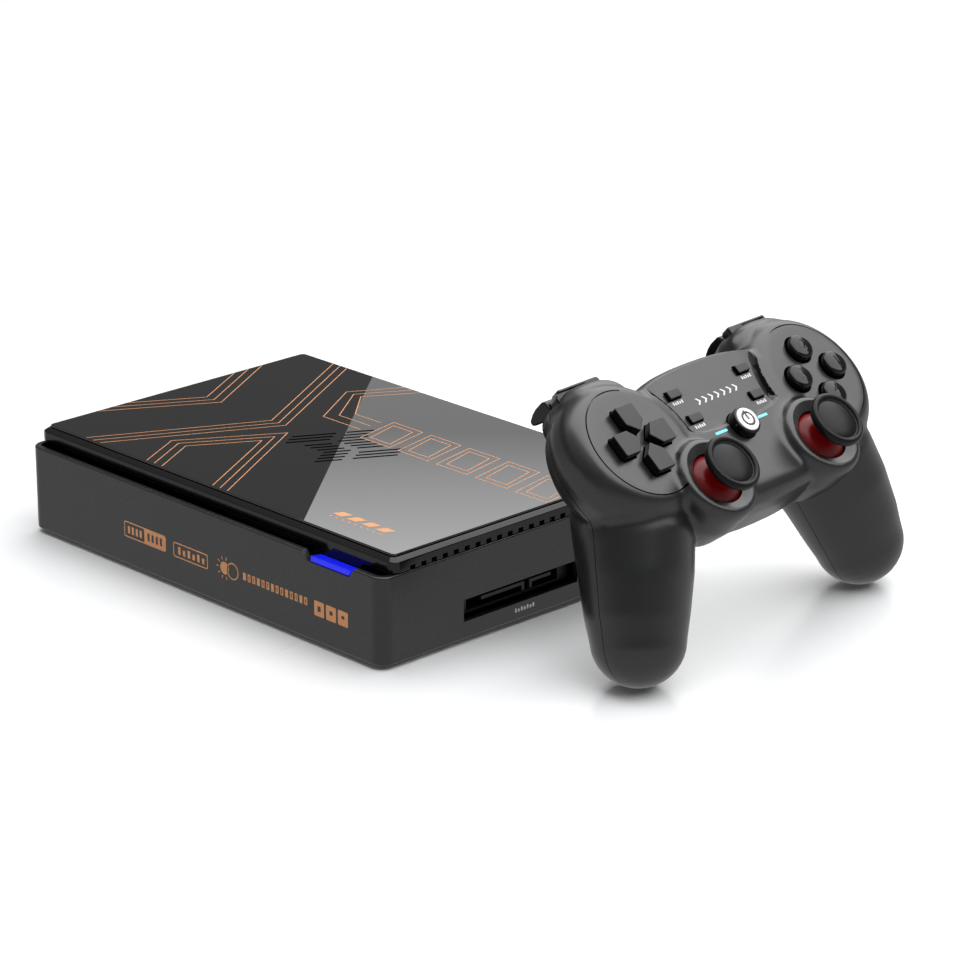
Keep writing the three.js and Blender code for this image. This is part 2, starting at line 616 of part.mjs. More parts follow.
// ---- controller insides ----
function padBoard() {
  const outline = roundedRectangle(-41, 41, -23.6, 18, 8, 3);
  return prism(outline, BOARD_Z.low, BOARD_Z.high);
}

const MOTOR = { x: 54, y: -20, z: -26, radius: 6.2, length: 12 };
function rumbleMotor(side) {
  const can = along(side * MOTOR.x, MOTOR.y - MOTOR.length, MOTOR.y, MOTOR.z, MOTOR.radius, 20);
  return can.add(along(side * MOTOR.x, MOTOR.y - 0.5, MOTOR.y + 6.5, MOTOR.z, 0.9, 12));
}
function rumbleWeight(side) {
  const x = side * MOTOR.x;
  const y0 = MOTOR.y + 1;
  const disc = along(x, y0, y0 + 4.5, MOTOR.z, 5.6, 20);
  const lower = disc.intersect(box(x - 7, x + 7, y0 - 1, y0 + 6, MOTOR.z - 7, MOTOR.z + 1.9));
  return lower.subtract(along(x, y0 - 1, y0 + 6, MOTOR.z, 1.2, 12));
}

// ---- sticks: carrier with two posts, a ring that swings on them, and the stick on the ring ----
const PIVOT = STICK.pivotZ;
const RINGS = { outer: 5.6, inner: 4.2, half: 2.2 };
function stickCarrier(side) {
  const [x, y] = [side * STICK.x, STICK.y];
  let body = box(x - 9.3, x + 9.3, y - 6, y + 6, PIVOT - 5.8, PIVOT - 4.6);
  for (const end of [-1, 1]) {
    const a = x + end * 8.1;
    body = body.add(box(a - 1.2, a + 1.2, y - 2.4, y + 2.4, PIVOT - 5, PIVOT + 2.4));
  }
  return body.subtract(across(x - 12, x + 12, y, PIVOT, 1.5));
}
function stickRing(side) {
  const [x, y] = [side * STICK.x, STICK.y];
  let body = cylinder(x, y, RINGS.outer, PIVOT - RINGS.half, PIVOT + RINGS.half, 24);
  body = body.add(across(x - 8.9, x + 8.9, y, PIVOT, 1.15));
  body = body.subtract(cylinder(x, y, RINGS.inner, PIVOT - 4, PIVOT + 4, 24));
  return body.subtract(along(x, y - 9, y + 9, PIVOT, 1.3, 12));
}
function stickDome(side) {
  const [x, y] = [side * STICK.x, STICK.y];
  const arc = (radius, from, to, steps) => {
    const points = [];
    for (let i = 0; i <= steps; i++) {
      const angle = THREE.MathUtils.degToRad(from + ((to - from) * i) / steps);
      points.push([radius * Math.sin(angle), PIVOT + radius * Math.cos(angle)]);
    }
    return points;
  };
  const skirt = 74;
  const stem = 2.1;
  const stemAngle = THREE.MathUtils.radToDeg(Math.asin(stem / (STICK.domeR - 1.5)));
  const body = turned(x, y, [
    [0, PIVOT - 1.9], [1.7, PIVOT - 1.9], [1.7, PIVOT + 3], [stem, PIVOT + 4],
    ...arc(STICK.domeR - 1.5, stemAngle, skirt, 4), ...arc(STICK.domeR, skirt, 17, 5),
    [3, PIVOT + STICK.domeR], [3, STICK.capBottom + 1.8], [0, STICK.capBottom + 1.8],
  ], 20);
  return body.add(along(x, y - 5.2, y + 5.2, PIVOT, 1, 12));
}
function stickCap(side) {
  return turned(side * STICK.x, STICK.y, [
    [0, STICK.capBottom + 2.1], [3.3, STICK.capBottom + 2.1],
    [3.3, STICK.capBottom - 0.6], [4.6, STICK.capBottom - 0.5],
    [STICK.capR - 0.9, STICK.capBottom + 0.1], [STICK.capR, STICK.capBottom + 0.9],
    [STICK.capR, STICK.capTop - 0.9],
    [STICK.capR - 0.7, STICK.capTop], [STICK.capR - 2, STICK.capTop], [STICK.capR - 3, STICK.capTop - 0.7],
    [4.2, STICK.capTop - 0.5], [0, STICK.capTop - 0.2],
  ], 24);
}

// ---- keys and buttons ----
const FLANGE = { low: -4.6, high: -3.4 };
function directionKey(quarter) {
  const outline = (inset, z) => {
    const [cx, cy] = keyOutline(-1, quarter, 0).reduce(([a, b], [x, y]) => [a + x / 7, b + y / 7], [0, 0]);
    const scale = 1 - inset / 6;
    return keyOutline(-1, quarter, 0)
      .map(([x, y]) => new THREE.Vector3(cx + (x - cx) * scale, cy + (y - cy) * scale, z));
  };
  const body = loft([outline(0, FLANGE.low), outline(0, KEY.top - 0.7), outline(0.6, KEY.top)]);
  return body.add(prism(keyOutline(-1, quarter, 0.9), FLANGE.low, FLANGE.high));
}
function actionButton(quarter) {
  const [x, y] = actionPlace(quarter);
  const { radius, top } = ACTION;
  return turned(x, y, [
    [0, FLANGE.low], [radius + 1.2, FLANGE.low], [radius + 1.2, FLANGE.high], [radius, FLANGE.high],
    [radius, top - 0.9], [radius - 0.5, top - 0.3], [radius * 0.7, top], [0, top + 0.15],
  ], 24);
}
function smallKey(x, y) {
  const [w, h] = [SMALL.width / 2, SMALL.height / 2];
  const body = box(x - w, x + w, y - h, y + h, FLANGE.low, SMALL.top);
  return body.add(box(x - w - 0.8, x + w + 0.8, y - h - 0.8, y + h + 0.8, FLANGE.low, FLANGE.high));
}
function homeButton() {
  const { y, radius, top, emblem } = HOME;
  return turned(0, y, [
    [0, FLANGE.low], [radius + 1.2, FLANGE.low], [radius + 1.2, FLANGE.high], [radius, FLANGE.high],
    [radius, top - 0.3], [radius - 0.3, top], [emblem + 0.15, top], [emblem + 0.15, top - 0.7], [0, top - 0.7],
  ], 28);
}
const homeEmblem = () =>
  turned(0, HOME.y, [
    [0, HOME.top - 0.6], [HOME.emblem, HOME.top - 0.6], [HOME.emblem, HOME.top + 0.1], [0, HOME.top + 0.4],
  ], 28);
const homeLight = (side) => box(...lightSpan(side, 0), LIGHT.y0, LIGHT.y1, -3, LIGHT.top);

// ---- bumpers and triggers ----
function bumper(side) {
  const outline = (inset, z) => {
    const { x0, x1, y0, y1 } = BUMPER;
    const points = [
      [x0 + inset, y0],
      [x0 + inset, y1 - 1.2],
      [x0 + 1.2, y1 - inset],
      [x1 - 3.4, y1 - inset],
      [x1 - inset, y1 - 3],
      [x1 - inset, y0],
    ];
    return points.map(([x, y]) => new THREE.Vector3(side * x, y, z));
  };
  const [chamfer, step] = [0.6, 0.8];
  return loft([
    outline(chamfer, BUMPER.z0), outline(0, BUMPER.z0 + step),
    outline(0, BUMPER.z1 - step), outline(chamfer, BUMPER.z1),
  ]);
}
function trigger(side) {
  const { x0, x1, pivotY, pivotZ } = TRIGGER;
  const outline = [
    [32, -13.2], [35.6, -13.6], [36.6, -15.5], [36.5, -19], [35.8, -22], [34.8, -24.2], [33.2, -24.4],
    [32, -21.6], [30.8, -18.6], [28.4, -17.4], [27.4, -15.6], [28.2, -13.8],
  ];
  const lever = prismX(outline, side > 0 ? x0 : -x1, side > 0 ? x1 : -x0);
  const middle = (side * (x0 + x1)) / 2;
  return lever.add(across(middle - 16.2, middle + 16.2, pivotY, pivotZ, 1.3));
}
function usbSocket() {
  const body = box(-4, 4, 19.4, 26.6, -12.2, -9.2);
  return body.subtract(box(-3.4, 3.4, 21.5, 30, -11.6, -9.8)).add(box(-2.2, 2.2, 20.5, 25.6, -11, -10.5));
}

const controllerParts = [
  ["controller_front_shell", frontShell, FINISH.satinBlack],
  ["controller_rear_shell", rearShell(), FINISH.satinBlack],
  ["controller_board", padBoard(), FINISH.board],
  ["controller_battery", prism(roundedRectangle(-18, 18, -11, 11, 2, 2), -22.6, -15), FINISH.battery],
  ["controller_usb_socket", usbSocket(), FINISH.steel],
  ["home_button", homeButton(), FINISH.glossBlack],
  ["home_emblem", homeEmblem(), FINISH.emblem],
  ...QUARTERS.map((name, q) => ["direction_key_" + name, directionKey(q), FINISH.satinBlack]),
  ...QUARTERS.map((name, q) => ["action_button_" + name, actionButton(q), FINISH.glossBlack]),
  ...SMALL_KEYS.map(([name, x, y]) => [name, smallKey(x, y), FINISH.satinBlack]),
  ...SIDES.flatMap(([name, side]) => [
    [name + "_rumble_motor", rumbleMotor(side), FINISH.steel],
    [name + "_rumble_weight", rumbleWeight(side), FINISH.steel],
    [name + "_stick_carrier", stickCarrier(side), FINISH.satinBlack],
    [name + "_stick_ring", stickRing(side), FINISH.satinBlack],
    [name + "_stick_dome", stickDome(side), FINISH.redGloss],
    [name + "_stick_cap", stickCap(side), FINISH.rubber],
    [name + "_bumper", bumper(side), FINISH.glossBlack],
    [name + "_trigger", trigger(side), FINISH.glossBlack],
    [name + "_home_light", homeLight(side), FINISH.cyanLight],
  ]),
];

// ---- the whole object ----
const root = new THREE.Group();
function group(parts) {
  const made = new THREE.Group();
  for (const [name, body, material] of parts) {
    const mesh = new THREE.Mesh(geometryOf(body), material.clone());
    mesh.name = name;
    made.add(mesh);
  }
  root.add(made);
  return made;
}

const consoleGroup = group(consoleParts);
const controllerGroup = group(controllerParts);

const heading = THREE.MathUtils.degToRad(STAND.heading);
const rise = THREE.MathUtils.degToRad(STAND.faceRise);
const right = new THREE.Vector3(Math.cos(heading), Math.sin(heading), 0);
const level = Math.cos(rise);
const out = new THREE.Vector3(Math.sin(heading) * level, -Math.cos(heading) * level, Math.sin(rise));
const pose = new THREE.Matrix4().makeBasis(right, out.clone().cross(right), out);
pose.setPosition(STAND.x, STAND.y, STAND.z);
controllerGroup.applyMatrix4(pose);
root.updateMatrixWorld(true);
// The grips stand exactly on the floor, and the footprint is centred on the origin.
controllerGroup.position.z -= new THREE.Box3().setFromObject(controllerGroup, true).min.z;
root.updateMatrixWorld(true);
const footprint = new THREE.Box3().setFromObject(root, true).getCenter(new THREE.Vector3());
for (const part of [consoleGroup, controllerGroup]) {
  part.position.x -= footprint.x;
  part.position.y -= footprint.y;
}

export default root;
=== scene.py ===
"""A set-top game console with its wireless controller standing beside it.

Metres, +Z up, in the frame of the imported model. The console's own sizes are in millimetres from the
middle of its underside; the controller's are in millimetres in its own frame, with X to the player's
right, Y towards the triggers and Z out of its face.
"""
import math

import bmesh
import bpy
from mathutils import Matrix, Vector
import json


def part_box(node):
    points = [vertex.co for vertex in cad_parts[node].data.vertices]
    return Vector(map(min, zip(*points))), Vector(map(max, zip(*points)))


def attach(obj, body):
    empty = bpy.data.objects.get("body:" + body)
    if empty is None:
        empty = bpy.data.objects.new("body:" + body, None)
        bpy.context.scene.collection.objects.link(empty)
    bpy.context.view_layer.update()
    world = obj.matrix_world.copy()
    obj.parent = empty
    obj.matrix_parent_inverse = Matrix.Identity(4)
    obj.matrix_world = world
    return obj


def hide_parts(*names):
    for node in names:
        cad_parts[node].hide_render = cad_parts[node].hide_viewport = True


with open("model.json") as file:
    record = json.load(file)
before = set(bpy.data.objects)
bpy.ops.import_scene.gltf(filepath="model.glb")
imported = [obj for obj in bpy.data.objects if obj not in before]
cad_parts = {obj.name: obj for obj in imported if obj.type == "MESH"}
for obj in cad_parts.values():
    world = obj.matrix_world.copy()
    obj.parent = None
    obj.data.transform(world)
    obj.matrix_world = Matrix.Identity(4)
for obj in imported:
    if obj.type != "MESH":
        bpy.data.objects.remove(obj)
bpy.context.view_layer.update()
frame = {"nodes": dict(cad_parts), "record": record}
MM = 0.001

# ---- where things are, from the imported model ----
TRAY_LOW, TRAY_HIGH = (Vector(corner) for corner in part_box("console_tray"))
CONSOLE = Vector(((TRAY_LOW.x + TRAY_HIGH.x) / 2, (TRAY_LOW.y + TRAY_HIGH.y) / 2, 0))
JOINTS = {joint["name"]: joint for joint in frame["record"]["behaviour"]["joints"]}
STICK_X, STICK_Y, PIVOT_Z = 29.2, -16.9, -6.0


def controller_frame():
    """The controller's own frame, from the axes and pivots of its stick joints."""
    left = JOINTS["left_stick_tilt_up_down"]
    right = JOINTS["right_stick_tilt_up_down"]
    x_axis = Vector(left["axis"]).normalized()
    z_axis = -Vector(JOINTS["home_button_press"]["axis"]).normalized()
    y_axis = z_axis.cross(x_axis)
    turn = Matrix((x_axis, y_axis, z_axis)).transposed()
    middle = (Vector(left["pos_m"]) + Vector(right["pos_m"])) / 2
    origin = middle - turn @ Vector((0, STICK_Y * MM, PIVOT_Z * MM))
    return Matrix.Translation(origin) @ turn.to_4x4()


CONTROLLER = controller_frame()

# ---- console sizes ----
HALF_W, HALF_D = 95.0, 66.5
FOOT_H, TRAY_TOP = 1.5, 33.0
LID_BOTTOM, LID_SHOULDER, LID_TOP, PANEL_TOP = 33.3, 37.2, 38.5, 39.5
LID_FRONT = -HALF_D + 5.4
CHANNEL_FLOOR = 28.6
SCREW_PLACES = [(x, y) for x in (-83, 83) for y in (-53, 53)]
VENT_FIRST, VENT_PITCH, VENT_WIDTH, VENT_HEIGHT, VENT_COUNT = -53.5, 5.05, 2.35, 1.55, 21
SLOT_Y0, SLOT_Y1, SLOT_Z0, SLOT_Z1 = -29.0, 25.5, 7.8, 15.8

# ---- controller sizes ----
PAD_X, PAD_Y, PAD_FACE = 48.4, 5.2, 1.6
TIP = (62.0, -44.6, -37.6, 16.2)
BUTTON_SPACING, BUTTON_R, BUTTON_TOP = 10.0, 4.9, 5.0
KEY_HALF, KEY_TIP, KEY_SHOULDER, KEY_END, KEY_TOP = 4.3, 2.4, 6.1, 13.0, 4.9
HOME_Y, HOME_R, HOME_TOP = -2.3, 5.4, 4.6
SMALL_KEYS = {
    "select_key": (-18.8, 16.9), "start_key": (18.8, 16.9),
    "turbo_key": (-17.0, 6.3), "clear_key": (17.0, 6.3),
}
SIDES = {"left": -1, "right": 1}
QUARTERS = ("right", "up", "left", "down")
DOME_R, CAP_R, CAP_BOTTOM, CAP_TOP = 12.4, 10.4, 9.7, 13.4
RECESS_FLOOR, FACE = -0.2, 1.2
PARTING = [(60, -12.4), (14, -12.4), (0, -14.6), (-12, -19.2), (-24, -26), (-36, -33.6),
           (-48, -41.6), (-60, -49.6), (-100, -76)]


# =====================================================================================
# Materials
# =====================================================================================
def linear(hex_colour):
    """sRGB hex to linear RGBA."""
    channels = [int(hex_colour[i:i + 2], 16) / 255 for i in (1, 3, 5)]
    made = [c / 12.92 if c <= 0.04045 else ((c + 0.055) / 1.055) ** 2.4 for c in channels]
    return (*made, 1.0)


def add_node(tree, kind, inputs=None, **settings):
    """One node, with its settings, and each input given as a value or as a socket to link."""
    made = tree.nodes.new(kind)
    for key, value in settings.items():
        setattr(made, key, value)
    for key, value in (inputs or {}).items():
        if isinstance(value, bpy.types.NodeSocket):
            tree.links.new(value, made.inputs[key])
        else:
            made.inputs[key].default_value = value
    return made


def new_material(name):
    material = bpy.data.materials.new(name)
    material.use_nodes = True
    shader = material.node_tree.nodes["Principled BSDF"]
    return material, material.node_tree, shader


def plastic(name, dark, light, rough_low, rough_high, grain_mm, bump, coat=0.0, specular=0.5):
    """Moulded plastic: a slow drift between two shades, an uneven polish, and the mould's fine grain."""
    material, tree, shader = new_material(name)
    place = add_node(tree, "ShaderNodeTexCoord").outputs["Object"]
    drift = add_node(tree, "ShaderNodeTexNoise", {"Vector": place, "Scale": 45.0, "Detail": 3.0})
    shade = add_node(tree, "ShaderNodeMix", {"Factor": drift.outputs["Fac"]}, data_type="RGBA")
    shade.inputs["A"].default_value = linear(dark)
    shade.inputs["B"].default_value = linear(light)
    tree.links.new(shade.outputs["Result"], shader.inputs["Base Color"])
    polish = add_node(tree, "ShaderNodeTexNoise", {"Vector": place, "Scale": 130.0, "Detail": 4.0})
    rough = add_node(tree, "ShaderNodeMapRange", {
        "Value": polish.outputs["Fac"], "To Min": rough_low, "To Max": rough_high})
    tree.links.new(rough.outputs["Result"], shader.inputs["Roughness"])
    if bump:
        grain = add_node(tree, "ShaderNodeTexNoise", {
            "Vector": place, "Scale": 1 / (grain_mm * MM), "Detail": 2.0, "Roughness": 0.6})
        raised = add_node(tree, "ShaderNodeBump", {
            "Height": grain.outputs["Fac"], "Strength": bump, "Distance": grain_mm * MM * 0.2})
        tree.links.new(raised.outputs["Normal"], shader.inputs["Normal"])
    shader.inputs["IOR"].default_value = 1.5
    shader.inputs["Specular IOR Level"].default_value = specular
    if coat:
        shader.inputs["Coat Weight"].default_value = coat
        shader.inputs["Coat Roughness"].default_value = 0.05
    return material


def metal(name, base, rough_low, rough_high, streak_mm, bump):
    """Metal with its polish or drawing marks running along X."""
    material, tree, shader = new_material(name)
    place = add_node(tree, "ShaderNodeTexCoord").outputs["Object"]
    stretched = add_node(tree, "ShaderNodeMapping", {"Vector": place, "Scale": (0.08, 1.0, 1.0)})
    streaks = add_node(tree, "ShaderNodeTexNoise", {
        "Vector": stretched.outputs["Vector"], "Scale": 1 / (streak_mm * MM), "Detail": 3.0})
    rough = add_node(tree, "ShaderNodeMapRange", {
        "Value": streaks.outputs["Fac"], "To Min": rough_low, "To Max": rough_high})
    tree.links.new(rough.outputs["Result"], shader.inputs["Roughness"])
    raised = add_node(tree, "ShaderNodeBump", {
        "Height": streaks.outputs["Fac"], "Strength": bump, "Distance": 0.00005})
    tree.links.new(raised.outputs["Normal"], shader.inputs["Normal"])
    shader.inputs["Base Color"].default_value = linear(base)
    shader.inputs["Metallic"].default_value = 1.0
    return material


def light_guide(name, base, glow, strength):
    """Clear light guide, lit from inside: brighter in the middle of its cells, with a smooth face."""
    material, tree, shader = new_material(name)
    place = add_node(tree, "ShaderNodeTexCoord").outputs["Object"]
    cells = add_node(tree, "ShaderNodeTexNoise", {"Vector": place, "Scale": 160.0, "Detail": 1.0})
    level = add_node(tree, "ShaderNodeMapRange", {
        "Value": cells.outputs["Fac"], "To Min": strength * 0.85, "To Max": strength * 1.15})
    tree.links.new(level.outputs["Result"], shader.inputs["Emission Strength"])
    shader.inputs["Base Color"].default_value = linear(base)
    shader.inputs["Emission Color"].default_value = linear(glow)
    shader.inputs["Roughness"].default_value = 0.25
    return material


# Spark-textured ABS: a soft, slightly uneven sheen with very fine grain.
CONTROLLER_ABS = plastic("spark textured ABS", "#131415", "#18191a", 0.26, 0.35, 0.45, 0.10, specular=0.75)
# Satin ABS of the console's case: flatter and darker.
CASE_ABS = plastic("satin case ABS", "#141415", "#191919", 0.24, 0.32, 0.35, 0.05, specular=0.7)
# Gloss ABS straight from a polished mould: sharp reflections.
GLOSS_ABS = plastic("polished black ABS", "#080808", "#0b0b0c", 0.08, 0.14, 0.5, 0.0, specular=0.4)
# Printed acrylic sheet: a dark grey mirror.
ACRYLIC = plastic("polished acrylic sheet", "#161617", "#181819", 0.0, 0.004, 0.5, 0.0, specular=0.7)
# Satin key tops, lighter than their gloss sides; the sides' darker material is painted shade on the walls.
KEY_ABS = plastic("satin key ABS", "#151617", "#191a1b", 0.34, 0.42, 0.4, 0.06)
# Tinted gloss ABS of the stick domes: deep red with a wet highlight.
RED_ABS = plastic("polished red ABS", "#6a0507", "#7a080a", 0.2, 0.28, 0.5, 0.0, specular=0.25)
# Moulded silicone rubber of the caps and feet: dry and dull.
RUBBER = plastic("moulded silicone rubber", "#0c0c0d", "#111112", 0.26, 0.34, 0.3, 0.06, specular=0.2)
# Solder mask over glass-fibre board: deep green with a faint weave.
BOARD = plastic("solder masked board", "#0c3a20", "#104526", 0.35, 0.45, 0.5, 0.08)
CONNECTOR = plastic("glass filled nylon", "#0b0b0b", "#121212", 0.40, 0.52, 0.35, 0.08)
BATTERY_WRAP = plastic("heat shrink film", "#2c4468", "#33507a", 0.25, 0.35, 0.8, 0.05)
WHITE_INK = plastic("white pad print ink", "#d9d9d6", "#e8e8e6", 0.40, 0.50, 0.2, 0.04)
COPPER_INK = plastic("copper coloured pad print ink", "#c98650", "#dc9862", 0.36, 0.46, 0.2, 0.04)
ALUMINIUM = metal("extruded aluminium", "#b9bbbd", 0.35, 0.48, 0.4, 0.15)
STEEL = metal("nickel plated steel", "#a9a9ab", 0.22, 0.34, 0.3, 0.10)
BLUE_LIGHT = light_guide("blue light guide", "#0a0a60", "#0a18d8", 1.0)
CYAN_LIGHT = light_guide("cyan light guide", "#5fd0dc", "#7adfea", 0.55)
# White enamel of the home button's disc: a clean wet shine.
WHITE_ENAMEL = plastic("white enamel", "#dcdcda", "#ececea", 0.12, 0.2, 0.4, 0.0, coat=0.5)


# =====================================================================================
# Making pieces
# =====================================================================================
def pick(*objects):
    """Selects these objects only, the first one active."""
    bpy.ops.object.select_all(action="DESELECT")
    for thing in objects:
        thing.select_set(True)
    bpy.context.view_layer.objects.active = objects[0]


def named(name, thing=None):
    thing = thing or bpy.context.active_object
    thing.name = name
    thing.data.name = name
    return thing


def block(name, low, high):
    """A box between two corners in millimetres."""
    bpy.ops.object.select_all(action="DESELECT")
    middle = [(a + b) / 2 * MM for a, b in zip(low, high)]
    size = [(b - a) * MM for a, b in zip(low, high)]
    bpy.ops.mesh.primitive_cube_add(size=1, location=middle)
    made = named(name)
    made.scale = size
    bpy.ops.object.transform_apply(location=True, rotation=True, scale=True)
    return made


def turned(name, x, y, profile, sides=64):
    """A piece turned about an axis along Z at (x, y), from its lowest ring to its top: [radius, z] in mm."""
    bpy.ops.object.select_all(action="DESELECT")
    radius, z = profile[0]
    bpy.ops.mesh.primitive_circle_add(
        vertices=sides, radius=radius * MM, fill_type="NGON", location=(x * MM, y * MM, z * MM))
    made = named(name)
    bpy.ops.object.transform_apply(location=True, rotation=True, scale=True)
    bpy.ops.object.mode_set(mode="EDIT")
    bpy.ops.mesh.select_all(action="SELECT")
    for next_radius, next_z in profile[1:]:
        bpy.ops.mesh.extrude_region_move(
            TRANSFORM_OT_translate={"value": (0, 0, (next_z - z) * MM)})
        ratio = next_radius / radius
        bpy.ops.transform.resize(
            value=(ratio, ratio, 1), center_override=(x * MM, y * MM, next_z * MM))
        radius, z = next_radius, next_z
    bpy.ops.mesh.select_all(action="SELECT")
    bpy.ops.mesh.normals_make_consistent(inside=False)
    bpy.ops.object.mode_set(mode="OBJECT")
    return made


def plate(name, outline, z0, z1):
    """A flat piece from an outline of (x, y) points in mm, from z0 up to z1."""
    made = from_rings(name, [[(x, y, z0) for x, y in outline], [(x, y, z1) for x, y in outline]])
    return made


def from_rings(name, rings):
    """A closed piece drawn up through rings of equally many (x, y, z) points in mm."""
    bpy.ops.object.select_all(action="DESELECT")
    bpy.ops.mesh.primitive_circle_add(vertices=len(rings[0]), radius=1, fill_type="NGON")
    made = named(name)
    bpy.ops.object.mode_set(mode="EDIT")
    shape = bmesh.from_edit_mesh(made.data)
    shape.verts.ensure_lookup_table()
    face = shape.faces[:][0]
    order = [corner.vert.index for corner in face.loops]
    for corner, point in zip(face.loops, [rings[0][i] for i in order]):
        corner.vert.co = Vector(point) * MM
    ring_now = [rings[0][i] for i in order]
    for ring in rings[1:]:
        bpy.ops.mesh.extrude_region_move()
        shape = bmesh.from_edit_mesh(made.data)
        face = next(f for f in shape.faces if f.select)
        places = [Vector(p) * MM for p in ring_now]
        start = min(range(len(places)), key=lambda i: (face.loops[0].vert.co - places[i]).length)
        ring_next = [ring[i] for i in order]
        way = 1 if (face.loops[1].vert.co - places[(start + 1) % len(places)]).length < 1e-6 else -1
        for i, corner in enumerate(face.loops):
            corner.vert.co = Vector(ring_next[(start + way * i) % len(places)]) * MM
        bmesh.update_edit_mesh(made.data)
        ring_now = ring_next
    bpy.ops.mesh.select_all(action="SELECT")
    bpy.ops.mesh.normals_make_consistent(inside=False)
    bpy.ops.object.mode_set(mode="OBJECT")
    return made


def modifier(thing, kind, **settings):
    """Adds one modifier and applies it."""
    pick(thing)
    added = thing.modifiers.new(kind.title(), kind)
    for key, value in settings.items():
        setattr(added, key, value)
    bpy.ops.object.modifier_apply(modifier=added.name)
    return thing


def soften(thing, width, segments=3, angle=30):
    """Rounds a piece's hard edges by a width in mm."""
    return modifier(thing, "BEVEL", width=width * MM, segments=segments, limit_method="ANGLE",
                    angle_limit=math.radians(angle), harden_normals=False)


def joined(name, things):
    pick(*things)
    bpy.ops.object.join()
    return named(name, things[0])


def remove(*things):
    for thing in things:
        bpy.data.objects.remove(thing, do_unlink=True)


def combine(thing, tools, operation="DIFFERENCE", solver="MANIFOLD"):
    """Cuts tools out of a piece, or joins them to it, and removes them."""
    for tool in tools:
        modifier(thing, "BOOLEAN", operation=operation, solver=solver, object=tool)
        remove(tool)
    return thing


def smooth_shade(thing, angle=35):
    pick(thing)
    bpy.ops.object.shade_smooth_by_angle(angle=math.radians(angle))


def finish_piece(thing, material, body, nodes=(), place=None, angle=35):
    """Moves a piece to its place, gives it its finish, and lets it ride on its body."""
    if place is not None:
        thing.data.transform(place)
    thing.data.materials.clear()
    thing.data.materials.append(material)
    smooth_shade(thing, angle)
    modifier(thing, "WEIGHTED_NORMAL", keep_sharp=True, weight=100)
    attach(thing, body)
    if nodes:
        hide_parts(*nodes)
    return thing


def rounded_rectangle(x0, x1, y0, y1, radius, steps=8):
    """A rectangle's outline with round corners, counter-clockwise."""
    points = []
    for quarter, (x, y) in enumerate(((x1 - radius, y1 - radius), (x0 + radius, y1 - radius),
                                      (x0 + radius, y0 + radius), (x1 - radius, y0 + radius))):
        for i in range(steps + 1):
            angle = (quarter + i / steps) * math.pi / 2
            points.append((x + radius * math.cos(angle), y + radius * math.sin(angle)))
    return points


AT_CONSOLE = Matrix.Translation(CONSOLE)


def for_console(thing, material, nodes=()):
    return finish_piece(thing, material, "console", nodes, AT_CONSOLE)


def paint_wall_shade(thing, material):
    """Gives the walls of a key on the controller's face a second, darker gloss finish, picked by which way
    each face turns: painted shade on the walls; its top keeps the first.
    """
    up = (CONTROLLER.to_3x3() @ Vector((0, 0, 1))).normalized()
    thing.data.materials.append(material)
    for face in thing.data.polygons:
        # Faces turned away from the face's up get the darker material: painted shade.
        if face.normal.dot(up) < 0.45:
            face.material_index = 1


def face_height(shell, points):
    """The height of the finished face under (x, y) points, in mm of the controller's frame."""
    down = CONTROLLER.to_3x3() @ Vector((0, 0, -1))
    back = CONTROLLER.inverted()
    heights = []
    for x, y in points:
        _, place, _, _ = shell.ray_cast(CONTROLLER @ (Vector((x, y, 20)) * MM), down)
        heights.append((back @ place).z / MM)
    return max(heights)


def face_print(shell, points):
    """A flat printed mark on the controller's face."""
    height = face_height(shell, points)
    return plate("sign", points, height - 0.3, height + 0.04)


def for_controller(thing, material, body, nodes=(), angle=35):
    return finish_piece(thing, material, body, nodes, CONTROLLER, angle)


# =====================================================================================
# Console
# =====================================================================================
def slot_outlines():
    """The cooling slots in the cover, all at 60 degrees; the pattern is the same turned half round."""
    run = Vector((math.cos(math.radians(60)), math.sin(math.radians(60))))
    half = Vector((run.y, -run.x)) * 0.65
    middle, down, across = Vector((-0.2, 2.7)), Vector((1.75, -2.95)), Vector((3.4, 0))
    bars = [(Vector((-20.7, -4.4)) + down * i, 16.3) for i in range(3)]
    place = Vector((-10.7, 13.2))
    for i in range(7):
        bars.append((place, 10))
        place = place + (down if i < 3 else across)
    outlines = []
    for start, length in bars:
        end = start + run * length
        corners = [start - half, start + half, end + half, end - half]
        outlines.append([tuple(c) for c in corners])
        outlines.append([tuple(2 * middle - c) for c in corners])
    return outlines


def vent_tools(z0, z1):
    return [plate("slot_tool", outline, z0, z1) for outline in slot_outlines()]


